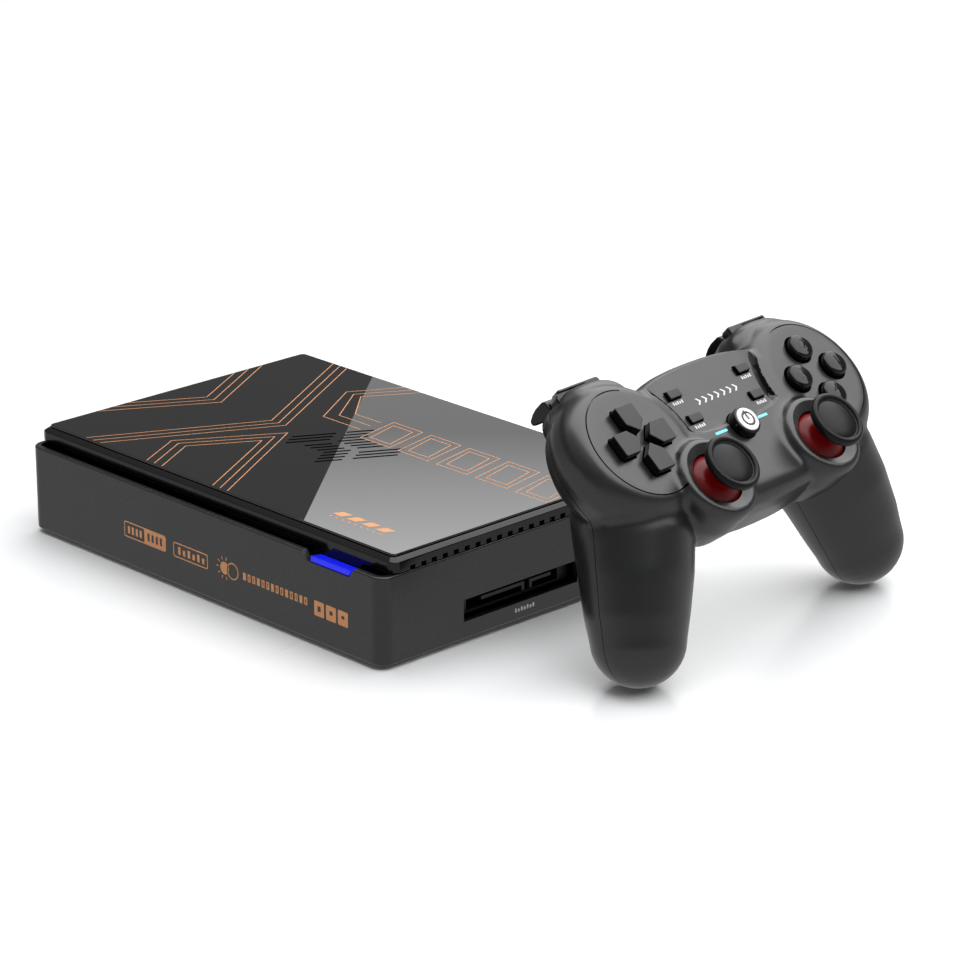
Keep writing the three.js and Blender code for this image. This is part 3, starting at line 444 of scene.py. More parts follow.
def make_tray():
    """The lower case: a deep tray with a groove along its front and a notch for the light."""
    wall = 2.2
    outline = rounded_rectangle(-HALF_W, HALF_W, -HALF_D, HALF_D, 5.2)
    tray = soften(plate("tray_case", outline, FOOT_H, TRAY_TOP), 0.6, 3, 60)
    inner = rounded_rectangle(-HALF_W + wall, HALF_W - wall, -HALF_D + wall, HALF_D - wall, 3)
    combine(tray, [plate("hollow_tool", inner, FOOT_H + wall, TRAY_TOP + 5)])
    shelf = block("groove_floor", (-HALF_W + 1.8, -HALF_D + 1.8, CHANNEL_FLOOR - 1.6),
                  (HALF_W - 1.8, LID_FRONT + 1.4, CHANNEL_FLOOR))
    combine(tray, [shelf], "UNION")
    notch = [(58.0, 29.7), (79.0, 29.7), (82.1, TRAY_TOP + 1), (54.9, TRAY_TOP + 1)]
    through = (-HALF_D - 1, -HALF_D + 3)
    tools = [from_rings("notch_tool", [[(x, y, z) for x, z in notch] for y in through])]
    tools.append(block("drive_tool", (HALF_W - 5, SLOT_Y0, SLOT_Z0), (HALF_W + 1, SLOT_Y1, SLOT_Z1)))
    for node in ("hdmi_socket", "network_socket", "usb_socket_left", "usb_socket_right"):
        low, high = ((Vector(c) - CONSOLE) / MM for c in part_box(node))
        tools.append(block("socket_tool", (low.x - 0.4, HALF_D - 5, low.z - 0.4),
                           (high.x + 0.4, HALF_D + 1, high.z + 0.4)))
    low, high = ((Vector(c) - CONSOLE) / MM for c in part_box("power_socket"))
    tools.append(block("socket_tool", (low.x - 0.4, HALF_D - 5, low.z - 0.4),
                       (high.x + 0.4, HALF_D + 1, high.z + 0.4)))
    for x, y in SCREW_PLACES:
        tools.append(turned("screw_tool", x, y, [(3.5, 0.5), (3.5, 2.4)], 24))
        tools.append(turned("screw_tool", x, y, [(1.8, 0.5), (1.8, 6)], 24))
    combine(tray, tools)
    for_console(tray, CASE_ABS, ["console_tray"])


def make_lid():
    """The cover: a gloss frame with a chamfered rim, bevelled corners, and a skirt over the groove."""
    def ring(inset, z, corner):
        outline = rounded_rectangle(-HALF_W + inset, HALF_W - inset, LID_FRONT + inset, HALF_D - inset,
                                    corner, 2)
        return [(x, y, z) for x, y in outline]
    lid = from_rings("lid_case", [ring(0.25, LID_BOTTOM, 2.6), ring(0, LID_BOTTOM + 0.3, 2.8),
                                  ring(0, LID_SHOULDER, 2.8), ring(1.6, LID_TOP, 2.0)])
    soften(lid, 0.25, 3, 20)
    hollow = block("hollow_tool", (-HALF_W + 3, LID_FRONT + 3, LID_BOTTOM - 1),
                   (HALF_W - 3, HALF_D - 3, LID_SHOULDER - 0.6))
    slanted = [(-46, 33.1), (54, 33.1), (57, 36.4), (-43, 36.4)]
    sides = (HALF_W - 0.35, HALF_W + 1)
    recess = from_rings("recess_tool", [[(x, y, z) for y, z in slanted] for x in sides])
    combine(lid, [hollow])
    tab = [(56.8, 31.6), (78.4, 31.6), (81.0, LID_BOTTOM + 0.6), (56.0, LID_BOTTOM + 0.6)]
    tab_ends = (LID_FRONT, LID_FRONT + 1.8)
    combine(lid, [from_rings("tab", [[(x, y, z) for x, z in tab] for y in tab_ends])], "UNION")
    notches = []
    for i in range(VENT_COUNT):
        y = VENT_FIRST + VENT_PITCH * i
        notches.append(block("notch_tool", (HALF_W - 4, y, LID_BOTTOM - 1),
                             (HALF_W + 1, y + VENT_WIDTH, LID_BOTTOM + VENT_HEIGHT)))
    combine(lid, [recess] + notches + vent_tools(LID_SHOULDER - 2, LID_TOP + 1))
    posts = []
    for x, y in SCREW_PLACES:
        post = turned("screw_post", x, y, [(3.4, 4.0), (3.4, LID_SHOULDER)], 24)
        combine(post, [turned("screw_tool", x, y, [(1.4, 3), (1.4, 14)], 24)])
        posts.append(post)
    combine(lid, posts, "UNION")
    for_console(lid, GLOSS_ABS, ["console_lid"])


def make_panel():
    """The glossy sheet let into the cover."""
    outline = rounded_rectangle(-HALF_W + 2.2, HALF_W - 2.2, LID_FRONT + 2.2, HALF_D - 2.2, 1.8)
    panel = soften(plate("top_panel", outline, LID_TOP, PANEL_TOP - 0.05), 0.3, 3, 60)
    combine(panel, vent_tools(LID_TOP - 1, PANEL_TOP + 1))
    for_console(panel, ACRYLIC, ["lid_top_panel"])


def ribbon(points, width, z, thickness=0.04):
    """A flat printed line through (x, y) points, with mitred corners, as a closed thin plate."""
    vectors = [Vector((x, y)) for x, y in points]
    left, right = [], []
    for i, here in enumerate(vectors):
        before = (here - vectors[i - 1]).normalized() if i else None
        after = (vectors[i + 1] - here).normalized() if i + 1 < len(vectors) else None
        ways = [w for w in (before, after) if w is not None]
        mean = sum(ways, Vector((0, 0))).normalized()
        side = Vector((-mean.y, mean.x))
        reach = width / 2 / max(0.3, side.dot(Vector((-ways[0].y, ways[0].x))))
        left.append(here + side * reach)
        right.append(here - side * reach)
    return strip_mesh(left, right, z, thickness)


def strip_mesh(left, right, z, thickness):
    shape = bmesh.new()
    rows = []
    for a, b in zip(left, right):
        rows.append([shape.verts.new((p.x * MM, p.y * MM, h * MM))
                     for p, h in ((a, z), (b, z), (b, z + thickness), (a, z + thickness))])
    for low, high in zip(rows, rows[1:]):
        for i in range(4):
            j = (i + 1) % 4
            shape.faces.new((low[i], low[j], high[j], high[i]))
    shape.faces.new(rows[0])
    shape.faces.new(rows[-1])
    bmesh.ops.recalc_face_normals(shape, faces=shape.faces)
    mesh = bpy.data.meshes.new("line")
    shape.to_mesh(mesh)
    shape.free()
    thing = bpy.data.objects.new("line", mesh)
    bpy.context.scene.collection.objects.link(thing)
    return thing


def clipped(points, x0, x1, y0, y1):
    """Cuts a polyline to a rectangle, keeping its first run inside."""
    kept = []
    for a, b in zip(points, points[1:]):
        low, high = 0.0, 1.0
        for start, step, least, most in ((a[0], b[0] - a[0], x0, x1), (a[1], b[1] - a[1], y0, y1)):
            if abs(step) < 1e-9:
                if not least <= start <= most:
                    low, high = 1.0, 0.0
                continue
            t0, t1 = sorted(((least - start) / step, (most - start) / step))
            low, high = max(low, t0), min(high, t1)
        if low < high:
            for t in (low, high):
                p = (a[0] + (b[0] - a[0]) * t, a[1] + (b[1] - a[1]) * t)
                if not kept or math.dist(kept[-1], p) > 1e-6:
                    kept.append(p)
    return kept


def make_line_art():
    """Thin copper traces on the panel: bundles of parallel lines with angled corners."""
    edges = (-HALF_W + 2.8, HALF_W - 2.8, LID_FRONT + 2.8, HALF_D - 2.8)
    routes = []
    for i in range(3):
        step = 3.9 * i
        routes.append([(-93 , -38 + 7 * i), (-68.7 - 4.2 * i, 2.8), (-92.5, 43.5 - 7 * i)])
        routes.append([(-73.3 + step, -62), (-39.8 + step, 2.5), (-76 + step, 66)])
        routes.append([(-35.1 + 4.3 * i, -62), (-47.5 + 4 * i, -38.4), (-25.1, -2.5 - 6.2 * i),
                       (10.5 - 4 * i, -64)])
        routes.append([(-33 + 4.4 * i, 66), (-45.5 + 4 * i, 44.4), (-30 + 3 * i, 19 + 5.2 * i),
                       (-10, 19 + 5.2 * i)])
    for i in range(5):
        x = -6 + 20 * i
        for inset in (0, 2.6):
            corners = [(x + 3 + inset, 13 + inset), (x + 18.5 - inset, 13 + inset),
                       (x + 14.5 - inset, 33 - inset), (x - 1 + inset, 33 - inset)]
            routes.append([(x + 10, 13 + inset)] + corners[1:] + [corners[0], (x + 9.98, 13 + inset)])
    lines = []
    for route in routes:
        inside = clipped(route, *edges)
        if len(inside) > 1:
            lines.append(ribbon(inside, 0.32, PANEL_TOP - 0.06))
    for_console(joined("panel_line_art", lines), COPPER_INK)
    marks = []
    for i in range(4):
        x = 49 + 7.2 * i
        marks.append(plate("mark", [(x, -47), (x + 4.6, -47), (x + 6.6, -43.4), (x + 2, -43.4)],
                           PANEL_TOP - 0.06, PANEL_TOP - 0.02))
    for i in range(9):
        x = 50 + 3.1 * i
        marks.append(plate("mark", [(x, -49.4), (x + 0.9, -49.4), (x + 1.2, -48.7), (x + 0.3, -48.7)],
                           PANEL_TOP - 0.06, PANEL_TOP - 0.02))
    for_console(joined("panel_corner_mark", marks), COPPER_INK)


def front_mark(outline, holes=()):
    """A flat printed mark on the front face, from (x, z) points."""
    print_y = -HALF_D - 0.03
    mark = from_rings("mark", [[(x, y, z) for x, z in outline] for y in (print_y, -HALF_D + 0.2)])
    tools = [from_rings("mark_tool", [[(x, y, z) for x, z in hole] for y in (-HALF_D - 1, -HALF_D + 1)])
             for hole in holes]
    return combine(mark, tools, solver="EXACT") if tools else mark


def disc(x, z, radius, sides=40):
    turns = [2 * math.pi * i / sides for i in range(sides)]
    return [(x + radius * math.cos(turn), z + radius * math.sin(turn)) for turn in turns]


def make_front_prints():
    """Printed badges on the front: two framed ones, a sun-and-disc sign, ticks and bold blocks."""
    marks = []
    frame_line = 0.45
    def box(x0, x1, z0, z1, r=0.9):
        return rounded_rectangle(x0, x1, z0, z1, r, 4)
    # A badge whose right half is filled, with bars in each half.
    bars = [box(-38.6 + 2.2 * i, -37.4 + 2.2 * i, 13.7, 16.5, 0.2) for i in range(4)]
    marks.append(front_mark(box(-40.7, -17.4, 12.1, 18.1),
                            [box(-40.7 + frame_line, -29.4, 12.1 + frame_line, 18.1 - frame_line, 0.6)] +
                            [box(-27.6 + 2.3 * i, -26.4 + 2.3 * i, 13.6, 16.6, 0.2) for i in range(4)]))
    marks += [front_mark(bar) for bar in bars]
    # A framed badge with bars.
    inside = box(-13.3 + frame_line, 5.6 - frame_line, 11.9 + frame_line, 17.5 - frame_line, 0.6)
    marks.append(front_mark(box(-13.3, 5.6, 11.9, 17.5), [inside]))
    for i in range(6):
        marks.append(front_mark(box(-10.6 + 2.6 * i, -9.3 + 2.6 * i, 13.3, 16.1 - 0.7 * (i % 2), 0.2)))
    # Light and shade: a full disc with rays that meets an outlined one.
    marks.append(front_mark(disc(14.6, 15.1, 2.3)))
    marks.append(front_mark(disc(18.9, 15.0, 3.1), [disc(18.9, 15.0, 2.65)]))
    for i in range(7):
        angle = math.radians(75 + 35 * i)
        c, s = math.cos(angle), math.sin(angle)
        near, far, half = 3.1, 4.3, 0.2
        marks.append(front_mark([(14.6 + c * r - s * h, 15.1 + s * r + c * h)
                                 for r, h in ((near, -half), (far, -half), (far, half), (near, half))]))
    # A row of small ticks, then bold blocks.
    for i in range(14):
        x = 24.4 + 2.45 * i
        marks.append(front_mark(box(x, x + 1.5, 13.5, 16.3, 0.2), [box(x + 0.5, x + 1.0, 14.0, 15.8, 0.1)]
                                if i % 3 else ()))
    for i in range(3):
        x = 61.3 + 6.0 * i
        marks.append(front_mark(box(x, x + 5.0, 11.2, 16.6, 0.5),
                                [box(x + 1.7, x + 3.3, 12.9 + 0.4 * i, 14.9, 0.3)]))
    for_console(joined("front_prints", marks), COPPER_INK)
    side = []
    for i in range(7):
        y = -4.8 + 1.4 * i
        side.append(block("mark", (HALF_W - 0.2, y, 4.5), (HALF_W + 0.03, y + 0.8, 6.0 - 0.4 * (i % 2))))
    for_console(joined("drive_slot_label", side), WHITE_INK)


def make_light_bar():
    """The lit bar in the notch of the front wall, under the lid's tab; its top dips towards the lid."""
    front, back = -HALF_D + 0.15, LID_FRONT - 0.35
    section = [(front, 30.0), (back, 30.0), (back, 31.3), (front, 32.1)]
    ends = [[(x + (z - 30) * lean, y, z) for y, z in section] for x, lean in ((59.7, 0), (78.6, 0.7))]
    bar = soften(from_rings("light_bar", ends), 0.18, 3, 30)
    for_console(bar, BLUE_LIGHT, ["power_light_bar"])


def make_feet():
    for i, (side_x, side_y) in enumerate(((-1, -1), (1, -1), (-1, 1), (1, 1)), 1):
        foot = turned("foot_%d" % i, side_x * 76, side_y * 44.5, [
            (3.2, 0.45), (3.6, 0.1), (4.0, 0.0), (5.4, 0.0), (5.8, 0.15), (6.0, 0.5), (6.0, FOOT_H)], 48)
        for_console(foot, RUBBER, ["rubber_foot_%d" % i])


def dress_cad_node(node, material, width):
    """A CAD piece whose shape is right: its edges are softened and it gets its material."""
    thing = frame["nodes"][node]
    weld = thing.modifiers.new("Weld", "WELD")
    weld.merge_threshold = 0.000005
    edges = thing.modifiers.new("Bevel", "BEVEL")
    edges.width = width * MM
    edges.segments = 2
    edges.limit_method = "ANGLE"
    edges.angle_limit = math.radians(40)
    thing.data.materials.clear()
    thing.data.materials.append(material)


# =====================================================================================
# Controller shells
# =====================================================================================
def superellipse(x, y, z, a, b, power, sides=64):
    points = []
    for i in range(sides):
        angle = 2 * math.pi * i / sides
        c, s = math.cos(angle), math.sin(angle)
        points.append((x + math.copysign(abs(c) ** (2 / power), c) * a,
                       y + math.copysign(abs(s) ** (2 / power), s) * b, z))
    return points


def tower(x, y, levels, power, inset):
    """A squarish tower along Z through (z, half width, half depth), shrunk all round by an inset."""
    lowest, highest = levels[0][0], levels[-1][0]
    return from_rings("tower", [
        superellipse(x, y, min(max(z, lowest + inset), highest - inset), a - inset, b - inset, power)
        for z, a, b in levels])


CENTRE_LEVELS = [(-27, 30, 19), (-25.4, 40, 25), (-20, 46, 28.6), (-9, 49, 28.8), (-3, 50, 28.2),
                 (-0.2, 49, 26.4), (FACE, 45.5, 22.6)]
POD_LEVELS = [(-26, 13, 13), (-24, 19, 19), (-18, 24.6, 24.6), (-10, 27, 27), (-4, 26.6, 26.6),
              (-1, 24.6, 24.6), (0.7, 22.8, 22.8), (PAD_FACE, 20.9, 20.9)]
TURRET_LEVELS = [(-24, 10, 10), (-18, 13.4, 13.4), (-8, 15.6, 15.6), (1, 15.7, 15.7), (3.6, 15.3, 15.3),
                 (4.8, 14.2, 14.2)]
SHOULDER_LEVELS = [(-24, 11, 8), (-20, 15, 10), (-13, 17, 11), (-6, 16.5, 10.2), (-2.6, 13, 8)]
GRIP_LINE = [(46, 18, -13.5, 11), (47, 6, -15.5, 16), (49, -7, -19, 19.6), (51.5, -17, -22.5, 20.4),
             (55.8, -27.5, -27.6, 19.2), (60, -38.4, -34, 17.6), TIP]


def grip(side, inset, sides=64):
    """A grip: round sections along its bent centre line, closed by a round tip."""
    centres = [Vector((x * side, y, z)) for x, y, z, _ in GRIP_LINE]
    rings = []

    def section(centre, along, radius):
        u = (Vector((1, 0, 0)) - along * along.x).normalized()
        v = along.cross(u)
        rings.append([tuple(centre + u * radius * math.cos(2 * math.pi * i / sides)
                            + v * radius * math.sin(2 * math.pi * i / sides)) for i in range(sides)])
    last = len(centres) - 1
    for i, centre in enumerate(centres):
        along = (centres[min(i + 1, last)] - centres[max(i - 1, 0)]).normalized()
        section(centre, along, GRIP_LINE[i][3] - inset)
    along = (centres[last] - centres[last - 1]).normalized()
    radius = TIP[3] - inset
    for lift in (0.25, 0.45, 0.62, 0.76, 0.87, 0.95, 0.99):
        section(centres[last] + along * radius * lift, along, radius * math.sqrt(1 - lift * lift))
    return from_rings("grip", rings)


def hull(name, inset, voxel, rounds):
    """The controller's whole outer form, with its parts run softly into each other."""
    things = [tower(0, -1, CENTRE_LEVELS, 2.6, inset * 1.6)]
    for side in SIDES.values():
        things.append(tower(side * PAD_X, PAD_Y, POD_LEVELS, 2, inset))
        things.append(tower(side * STICK_X, STICK_Y, TURRET_LEVELS, 2, inset))
        things.append(tower(side * 46, 24, SHOULDER_LEVELS, 2.6, inset))
        things.append(grip(side, inset))
    body = joined(name, things)
    modifier(body, "REMESH", mode="VOXEL", voxel_size=voxel * MM)
    modifier(body, "SMOOTH", factor=0.5, iterations=rounds)
    return body


def quarter_turn(quarter, p, q):
    c = (1, 0, -1, 0)[quarter]
    s = (0, 1, 0, -1)[quarter]
    return p * c - q * s, p * s + q * c


def key_outline(quarter, grow):
    """A direction key from above, pointing away from the pad's centre."""
    shape = [(KEY_TIP - grow, 0), (KEY_SHOULDER, -KEY_HALF - grow), (KEY_END - 0.6, -KEY_HALF - grow),
             (KEY_END + grow, -KEY_HALF + 0.5), (KEY_END + grow, KEY_HALF - 0.5),
             (KEY_END - 0.6, KEY_HALF + grow), (KEY_SHOULDER, KEY_HALF + grow)]
    turned_points = [quarter_turn(quarter, p, q) for p, q in shape]
    return [(-PAD_X + x, PAD_Y + y) for x, y in turned_points]


def button_place(quarter):
    x, y = quarter_turn(quarter, BUTTON_SPACING, 0)
    return PAD_X + x, PAD_Y + y


def light_span(side, grow):
    low, high = sorted((side * (8 - grow), side * (14.2 + grow)))
    return low, high, -2.4 - grow, -1.5 + grow


def face_tools():
    """What is cut through the controller's face."""
    tools = []
    for quarter in range(4):
        tools.append(plate("key_tool", key_outline(quarter, 0.5), -6, 12))
        x, y = button_place(quarter)
        tools.append(turned("button_tool", x, y, [(5.3, -6), (5.3, PAD_FACE - 0.5), (5.8, PAD_FACE + 0.1),
                                                  (5.8, 12)], 48))
    for side in SIDES.values():
        x0, x1, y0, y1 = light_span(side, 0.05)
        tools.append(block("light_tool", (x0, y0, -6), (x1, y1, 12)))
        groove = turned("groove_tool", side * PAD_X, PAD_Y, [(20.8, 0.6), (21.2, 4)], 96)
        combine(groove, [turned("core", side * PAD_X, PAD_Y, [(20.4, 0), (20.4, 6)], 96)])
        low, high = sorted((side * (PAD_X - 30), side * (PAD_X - 7)))
        tools.append(combine(groove, [block("inner_half", (low, PAD_Y - 30, -2), (high, PAD_Y + 30, 6))]))
    for x, y in SMALL_KEYS.values():
        tools.append(block("small_key_tool", (x - 3.45, y - 1.95, -6), (x + 3.45, y + 1.95, 12)))
    tools.append(turned("home_tool", 0, HOME_Y, [(HOME_R + 0.35, -6), (HOME_R + 0.35, 12)], 48))
    for side in SIDES.values():
        tools.append(turned("stick_tool", side * STICK_X, STICK_Y, [
            (10.1, -5), (10.1, 2.5), (9.8, 2.7), (9.75, 3.0), (10.0, 3.15), (12.6, 4.3), (13.1, 4.8),
            (13.3, 5.4), (13.3, 9)], 72))
    return tools


def rear_tools():
    """What is cut out for the bumpers and the triggers, and the charging socket's window."""
    tools = [block("usb_tool", (-4.4, 18, -12.5), (4.4, 40, -8.9))]
    for side in SIDES.values():
        low, high = sorted((side * 35.0, side * 59.8))
        tools.append(block("bumper_tool", (low, 27.2, -12.5), (high, 60, -6.7)))
        low, high = sorted((side * 36.4, side * 58.6))
        tools.append(block("trigger_tool", (low, 25.8, -50), (high, 60, -12.5)))
    return tools


def make_shells():
    outer = hull("front_shell_skin", 0, 0.9, 7)
    inner = hull("inner_tool", 2.3, 1.5, 4)
    levels = [(RECESS_FLOOR, 27.5, 16), (FACE, 29.1, 17.6), (8, 29.9, 18.4)]
    recess = tower(0, 17, levels, 4, 0)
    valley = tower(0, 17, [(z - 1.2, a - 1, b - 1) for z, a, b in levels], 4, 0)
    rings, pods = [], []
    for side in SIDES.values():
        place = (side * PAD_X, PAD_Y)
        pods.append(turned("pod_tool", *place, [(24.6, -4), (24.2, 1.2), (24.0, 9)], 96))
        ring = turned("valley_ring", *place, [(26.6, -4), (26.6, 9)], 96)
        rings.append(combine(ring, [turned("core", *place, [(24.6, -5), (24.2, 1.2), (24.0, 10)], 96)]))
    combine(valley, [joined("valley_rings", rings)], "INTERSECT")
    combine(recess, pods)
    combine(outer, [recess, valley])
    modifier(outer, "SMOOTH", factor=0.5, iterations=3)
    combine(outer, [inner] + face_tools() + rear_tools())
    pick(outer)
    bpy.ops.object.duplicate()
    rear = named("rear_shell_skin")
    gap = 0.15
    above = [(y, z - gap) for y, z in PARTING] + [(-100, 90), (60, 90)]
    below = [(y, z + gap) for y, z in PARTING] + [(-100, -120), (60, -120)]
    combine(rear, [from_rings("parting_tool", [[(x, y, z) for y, z in above] for x in (-100, 100)])])
    combine(outer, [from_rings("parting_tool", [[(x, y, z) for y, z in below] for x in (-100, 100)])])
    for skin, node in ((outer, "controller_front_shell"), (rear, "controller_rear_shell")):
        for_controller(skin, CONTROLLER_ABS, "controller", [node], 40)
    return outer


# =====================================================================================
# Controller keys, sticks and triggers
# =====================================================================================
def make_direction_keys():
    """Four pointed keys with flat satin tops, stepped down at their edges."""
    flange = (-4.6, -3.4)
    for quarter, name in enumerate(QUARTERS):
        key = plate("key", key_outline(quarter, 0), flange[0], KEY_TOP)
        soften(key, 0.45, 3, 25)
        rim = plate("rim", key_outline(quarter, 0.8), *flange)
        combine(key, [rim], "UNION")
        node = "direction_key_" + name
        for_controller(named(node + "_cap", key), KEY_ABS, node, [node])
        # The key's walls are darkened with the gloss material: painted shade.
        paint_wall_shade(key, GLOSS_ABS)


def make_action_buttons():
    """Four domed gloss buttons with a number sunk into each."""
    for quarter, name in enumerate(QUARTERS):
        x, y = button_place(quarter)
        profile = [(6.1, -4.6), (6.1, -3.4), (BUTTON_R, -3.4), (BUTTON_R, BUTTON_TOP - 1.7)]
        steps, edge = 8, 1.6
        for i in range(1, steps + 1):
            angle = math.pi / 2 * i / steps
            radius = BUTTON_R - edge + edge * math.cos(angle)
            profile.append((radius, BUTTON_TOP - 1.7 + 1.3 * math.sin(angle)))
        profile += [(2.2, BUTTON_TOP - 0.12), (0.6, BUTTON_TOP)]
        button = turned("button", x, y, profile, 64)
        digit = sunk_digit(str(quarter + 1), x, y, BUTTON_TOP)
        combine(button, [digit], solver="EXACT")
        node = "action_button_" + name
        for_controller(named(node + "_cap", button), GLOSS_ABS, node, [node])


def sunk_digit(text, x, y, top):
    """A tool that sinks one digit 0.3 mm into a button's top."""
    bpy.ops.object.select_all(action="DESELECT")
    bpy.ops.object.text_add(location=(x * MM, y * MM, (top - 0.3) * MM))
    made = bpy.context.active_object
    made.data.body = text
    made.data.size = 6.4 * MM
    made.data.extrude = 1.0 * MM
    made.data.align_x = "CENTER"
    made.data.align_y = "CENTER"
    made.location.z += 1.0 * MM
    bpy.ops.object.convert(target="MESH")
    made = bpy.context.active_object
    bpy.ops.object.transform_apply(location=True, rotation=True, scale=True)
    bpy.ops.object.mode_set(mode="EDIT")
    bpy.ops.mesh.select_all(action="SELECT")
    bpy.ops.mesh.remove_doubles(threshold=0.00001)
    bpy.ops.object.mode_set(mode="OBJECT")
    return made


def make_small_keys(shell):
    """Four flat keys, with a small white sign printed beside each."""
    signs = []
    for name, (x, y) in SMALL_KEYS.items():
        outline = [(x - 3.1, y - 1.6), (x + 3.1, y - 1.6), (x + 3.1, y + 1.6), (x - 3.1, y + 1.6)]
        key = soften(plate("key", outline, -4.6, 1.1), 0.3, 3)
        rim = block("rim", (x - 3.9, y - 2.4, -4.6), (x + 3.9, y + 2.4, -3.4))
        combine(key, [rim], "UNION")
        for_controller(named(name + "_cap", key), KEY_ABS, name, [name])
        # The key's walls are darkened with the gloss material: painted shade.
        paint_wall_shade(key, GLOSS_ABS)
        for i in range(5):
            left = x - 2.4 + 1.1 * i
            top = y - 2.5 - 0.25 * (i % 2)
            low, right = y - 3.7, left + 0.7
            signs.append(face_print(shell, [(left, low), (right, low), (right, top), (left, top)]))
    return signs


def make_face_prints(shell, signs):
    """White prints on the centre of the face: a row of chevrons, and the keys' signs."""
    for i in range(7):
        x = -10.8 + 3.35 * i
        low, middle, high = 10.2, 11.5, 12.8
        chevron = [(x, low), (x + 0.9, low), (x + 2.2, middle),
                   (x + 0.9, high), (x, high), (x + 1.3, middle)]
        signs.append(face_print(shell, chevron))
    for_controller(joined("face_prints", signs), WHITE_INK, "controller")


def make_home_button():
    """A tall gloss button with a bright disc on top that carries a plain ring and bar sign."""
    button = turned("home_button_cap", 0, HOME_Y, [
        (6.6, -4.6), (6.6, -3.4), (HOME_R, -3.4), (HOME_R, HOME_TOP - 0.7), (HOME_R - 0.2, HOME_TOP - 0.25),
        (HOME_R - 0.6, HOME_TOP), (4.7, HOME_TOP), (4.7, HOME_TOP - 0.5)], 64)
    for_controller(button, GLOSS_ABS, "home_button", ["home_button"])
    disc_piece = turned("home_emblem_disc", 0, HOME_Y, [
        (4.5, HOME_TOP - 0.45), (4.55, HOME_TOP - 0.1), (4.4, HOME_TOP + 0.15), (3.9, HOME_TOP + 0.28),
        (1.0, HOME_TOP + 0.36)], 64)
    groove = turned("ring_tool", 0, HOME_Y, [(2.9, HOME_TOP - 0.1), (2.9, HOME_TOP + 1)], 48)
    combine(groove, [turned("ring_core", 0, HOME_Y, [(2.0, HOME_TOP - 1), (2.0, HOME_TOP + 2)], 48)])
    bar = block("bar_tool", (-0.45, HOME_Y - 0.4, HOME_TOP - 0.1), (0.45, HOME_Y + 3.4, HOME_TOP + 1))
    combine(disc_piece, [groove, bar])
    for_controller(disc_piece, WHITE_ENAMEL, "home_button", ["home_emblem"])
    inlay = turned("home_emblem_inlay", 0, HOME_Y, [(3.1, HOME_TOP - 0.3), (3.1, HOME_TOP - 0.05)], 48)
    for_controller(inlay, GLOSS_ABS, "home_button")


def make_home_lights():
    for side in SIDES:
        x0, x1, y0, y1 = light_span(SIDES[side], 0)
        strip = block("light", (x0, y0, -3), (x1, y1, FACE - 0.02))
        node = side + "_home_light"
        for_controller(named(node + "_strip", strip), CYAN_LIGHT, "controller", [node])


def make_sticks():
    for name, side in SIDES.items():
        x, y = side * STICK_X, STICK_Y
        body = name + "_stick"
        skirt = 74
        profile = []
        steps = 16
        for i in range(steps + 1):
            angle = math.radians(skirt - (skirt - 18) * i / steps)
            profile.append((DOME_R * math.sin(angle), PIVOT_Z + DOME_R * math.cos(angle)))
        profile += [(3.9, PIVOT_Z + DOME_R * 0.96), (3.4, 7.0), (3.0, 8.2), (3.0, CAP_BOTTOM + 1.8)]
        dome = turned(name + "_stick_red_dome", x, y, profile, 72)
        hollow = []
        for i in range(9):
            angle = math.radians(skirt + 6 - (skirt - 4) * i / 8)
            hollow.append(((DOME_R - 1.4) * math.sin(angle), PIVOT_Z + (DOME_R - 1.4) * math.cos(angle)))
        combine(dome, [turned("hollow_tool", x, y, [(11.9, PIVOT_Z)] + hollow, 72)])
        stem = turned("stem", x, y, [(1.7, PIVOT_Z - 1.9), (1.7, PIVOT_Z + 12)], 32)
        combine(dome, [stem], "UNION")
        for_controller(dome, RED_ABS, body, [name + "_stick_dome"])
        cap = turned(name + "_stick_rubber_cap", x, y, [
            (3.3, CAP_BOTTOM - 0.55), (4.8, CAP_BOTTOM - 0.5), (8.0, CAP_BOTTOM - 0.05),
            (9.4, CAP_BOTTOM + 0.35),
            (10.1, CAP_BOTTOM + 0.85), (CAP_R, CAP_BOTTOM + 1.6), (CAP_R, CAP_TOP - 1.25),
            (10.25, CAP_TOP - 0.7), (9.95, CAP_TOP - 0.3), (9.5, CAP_TOP - 0.05), (9.0, CAP_TOP),
            (8.6, CAP_TOP - 0.12), (8.3, CAP_TOP - 0.45), (8.1, CAP_TOP - 0.95), (7.75, CAP_TOP - 1.05),
            (7.3, CAP_TOP - 0.85), (6.2, CAP_TOP - 0.5), (4.6, CAP_TOP - 0.2), (2.6, CAP_TOP - 0.05),
            (0.8, CAP_TOP)], 80)
        combine(cap, [turned("socket_tool", x, y, [(3.3, CAP_BOTTOM - 2), (3.3, CAP_BOTTOM + 2.1)], 48)])
        for_controller(cap, RUBBER, body, [name + "_stick_cap"])


def make_bumpers():
    """Gloss shoulder buttons: straight bars with a sunk band along the top of their outer two thirds."""
    x0, x1, y0, y1, z0, z1 = 35.5, 59.2, 29.5, 35.8, -12.0, -7.2
    for name, side in SIDES.items():
        rings = []
        for z, inset in ((z0, 0.6), (z0 + 0.8, 0), (z1 - 0.6, 0), (z1, 0.5)):
            rings.append([(side * x, y, z) for x, y in (
                (x0 + inset, y0), (x0 + inset, y1 - 1.0), (x0 + 1.0, y1 - inset), (x1 - 3.4, y1 - inset),
                (x1 - inset, y1 - 3.0), (x1 - inset, y0))])
        piece = soften(from_rings(name + "_bumper_cap", rings), 0.3, 3, 28)
        low, high = sorted((side * (x0 + 7.5), side * (x1 - 1.4)))
        combine(piece, [block("band_tool", (low, y0 - 1, z1 - 0.9), (high, y1 - 0.9, z1 + 1))])
        for_controller(piece, GLOSS_ABS, name + "_bumper", [name + "_bumper"])


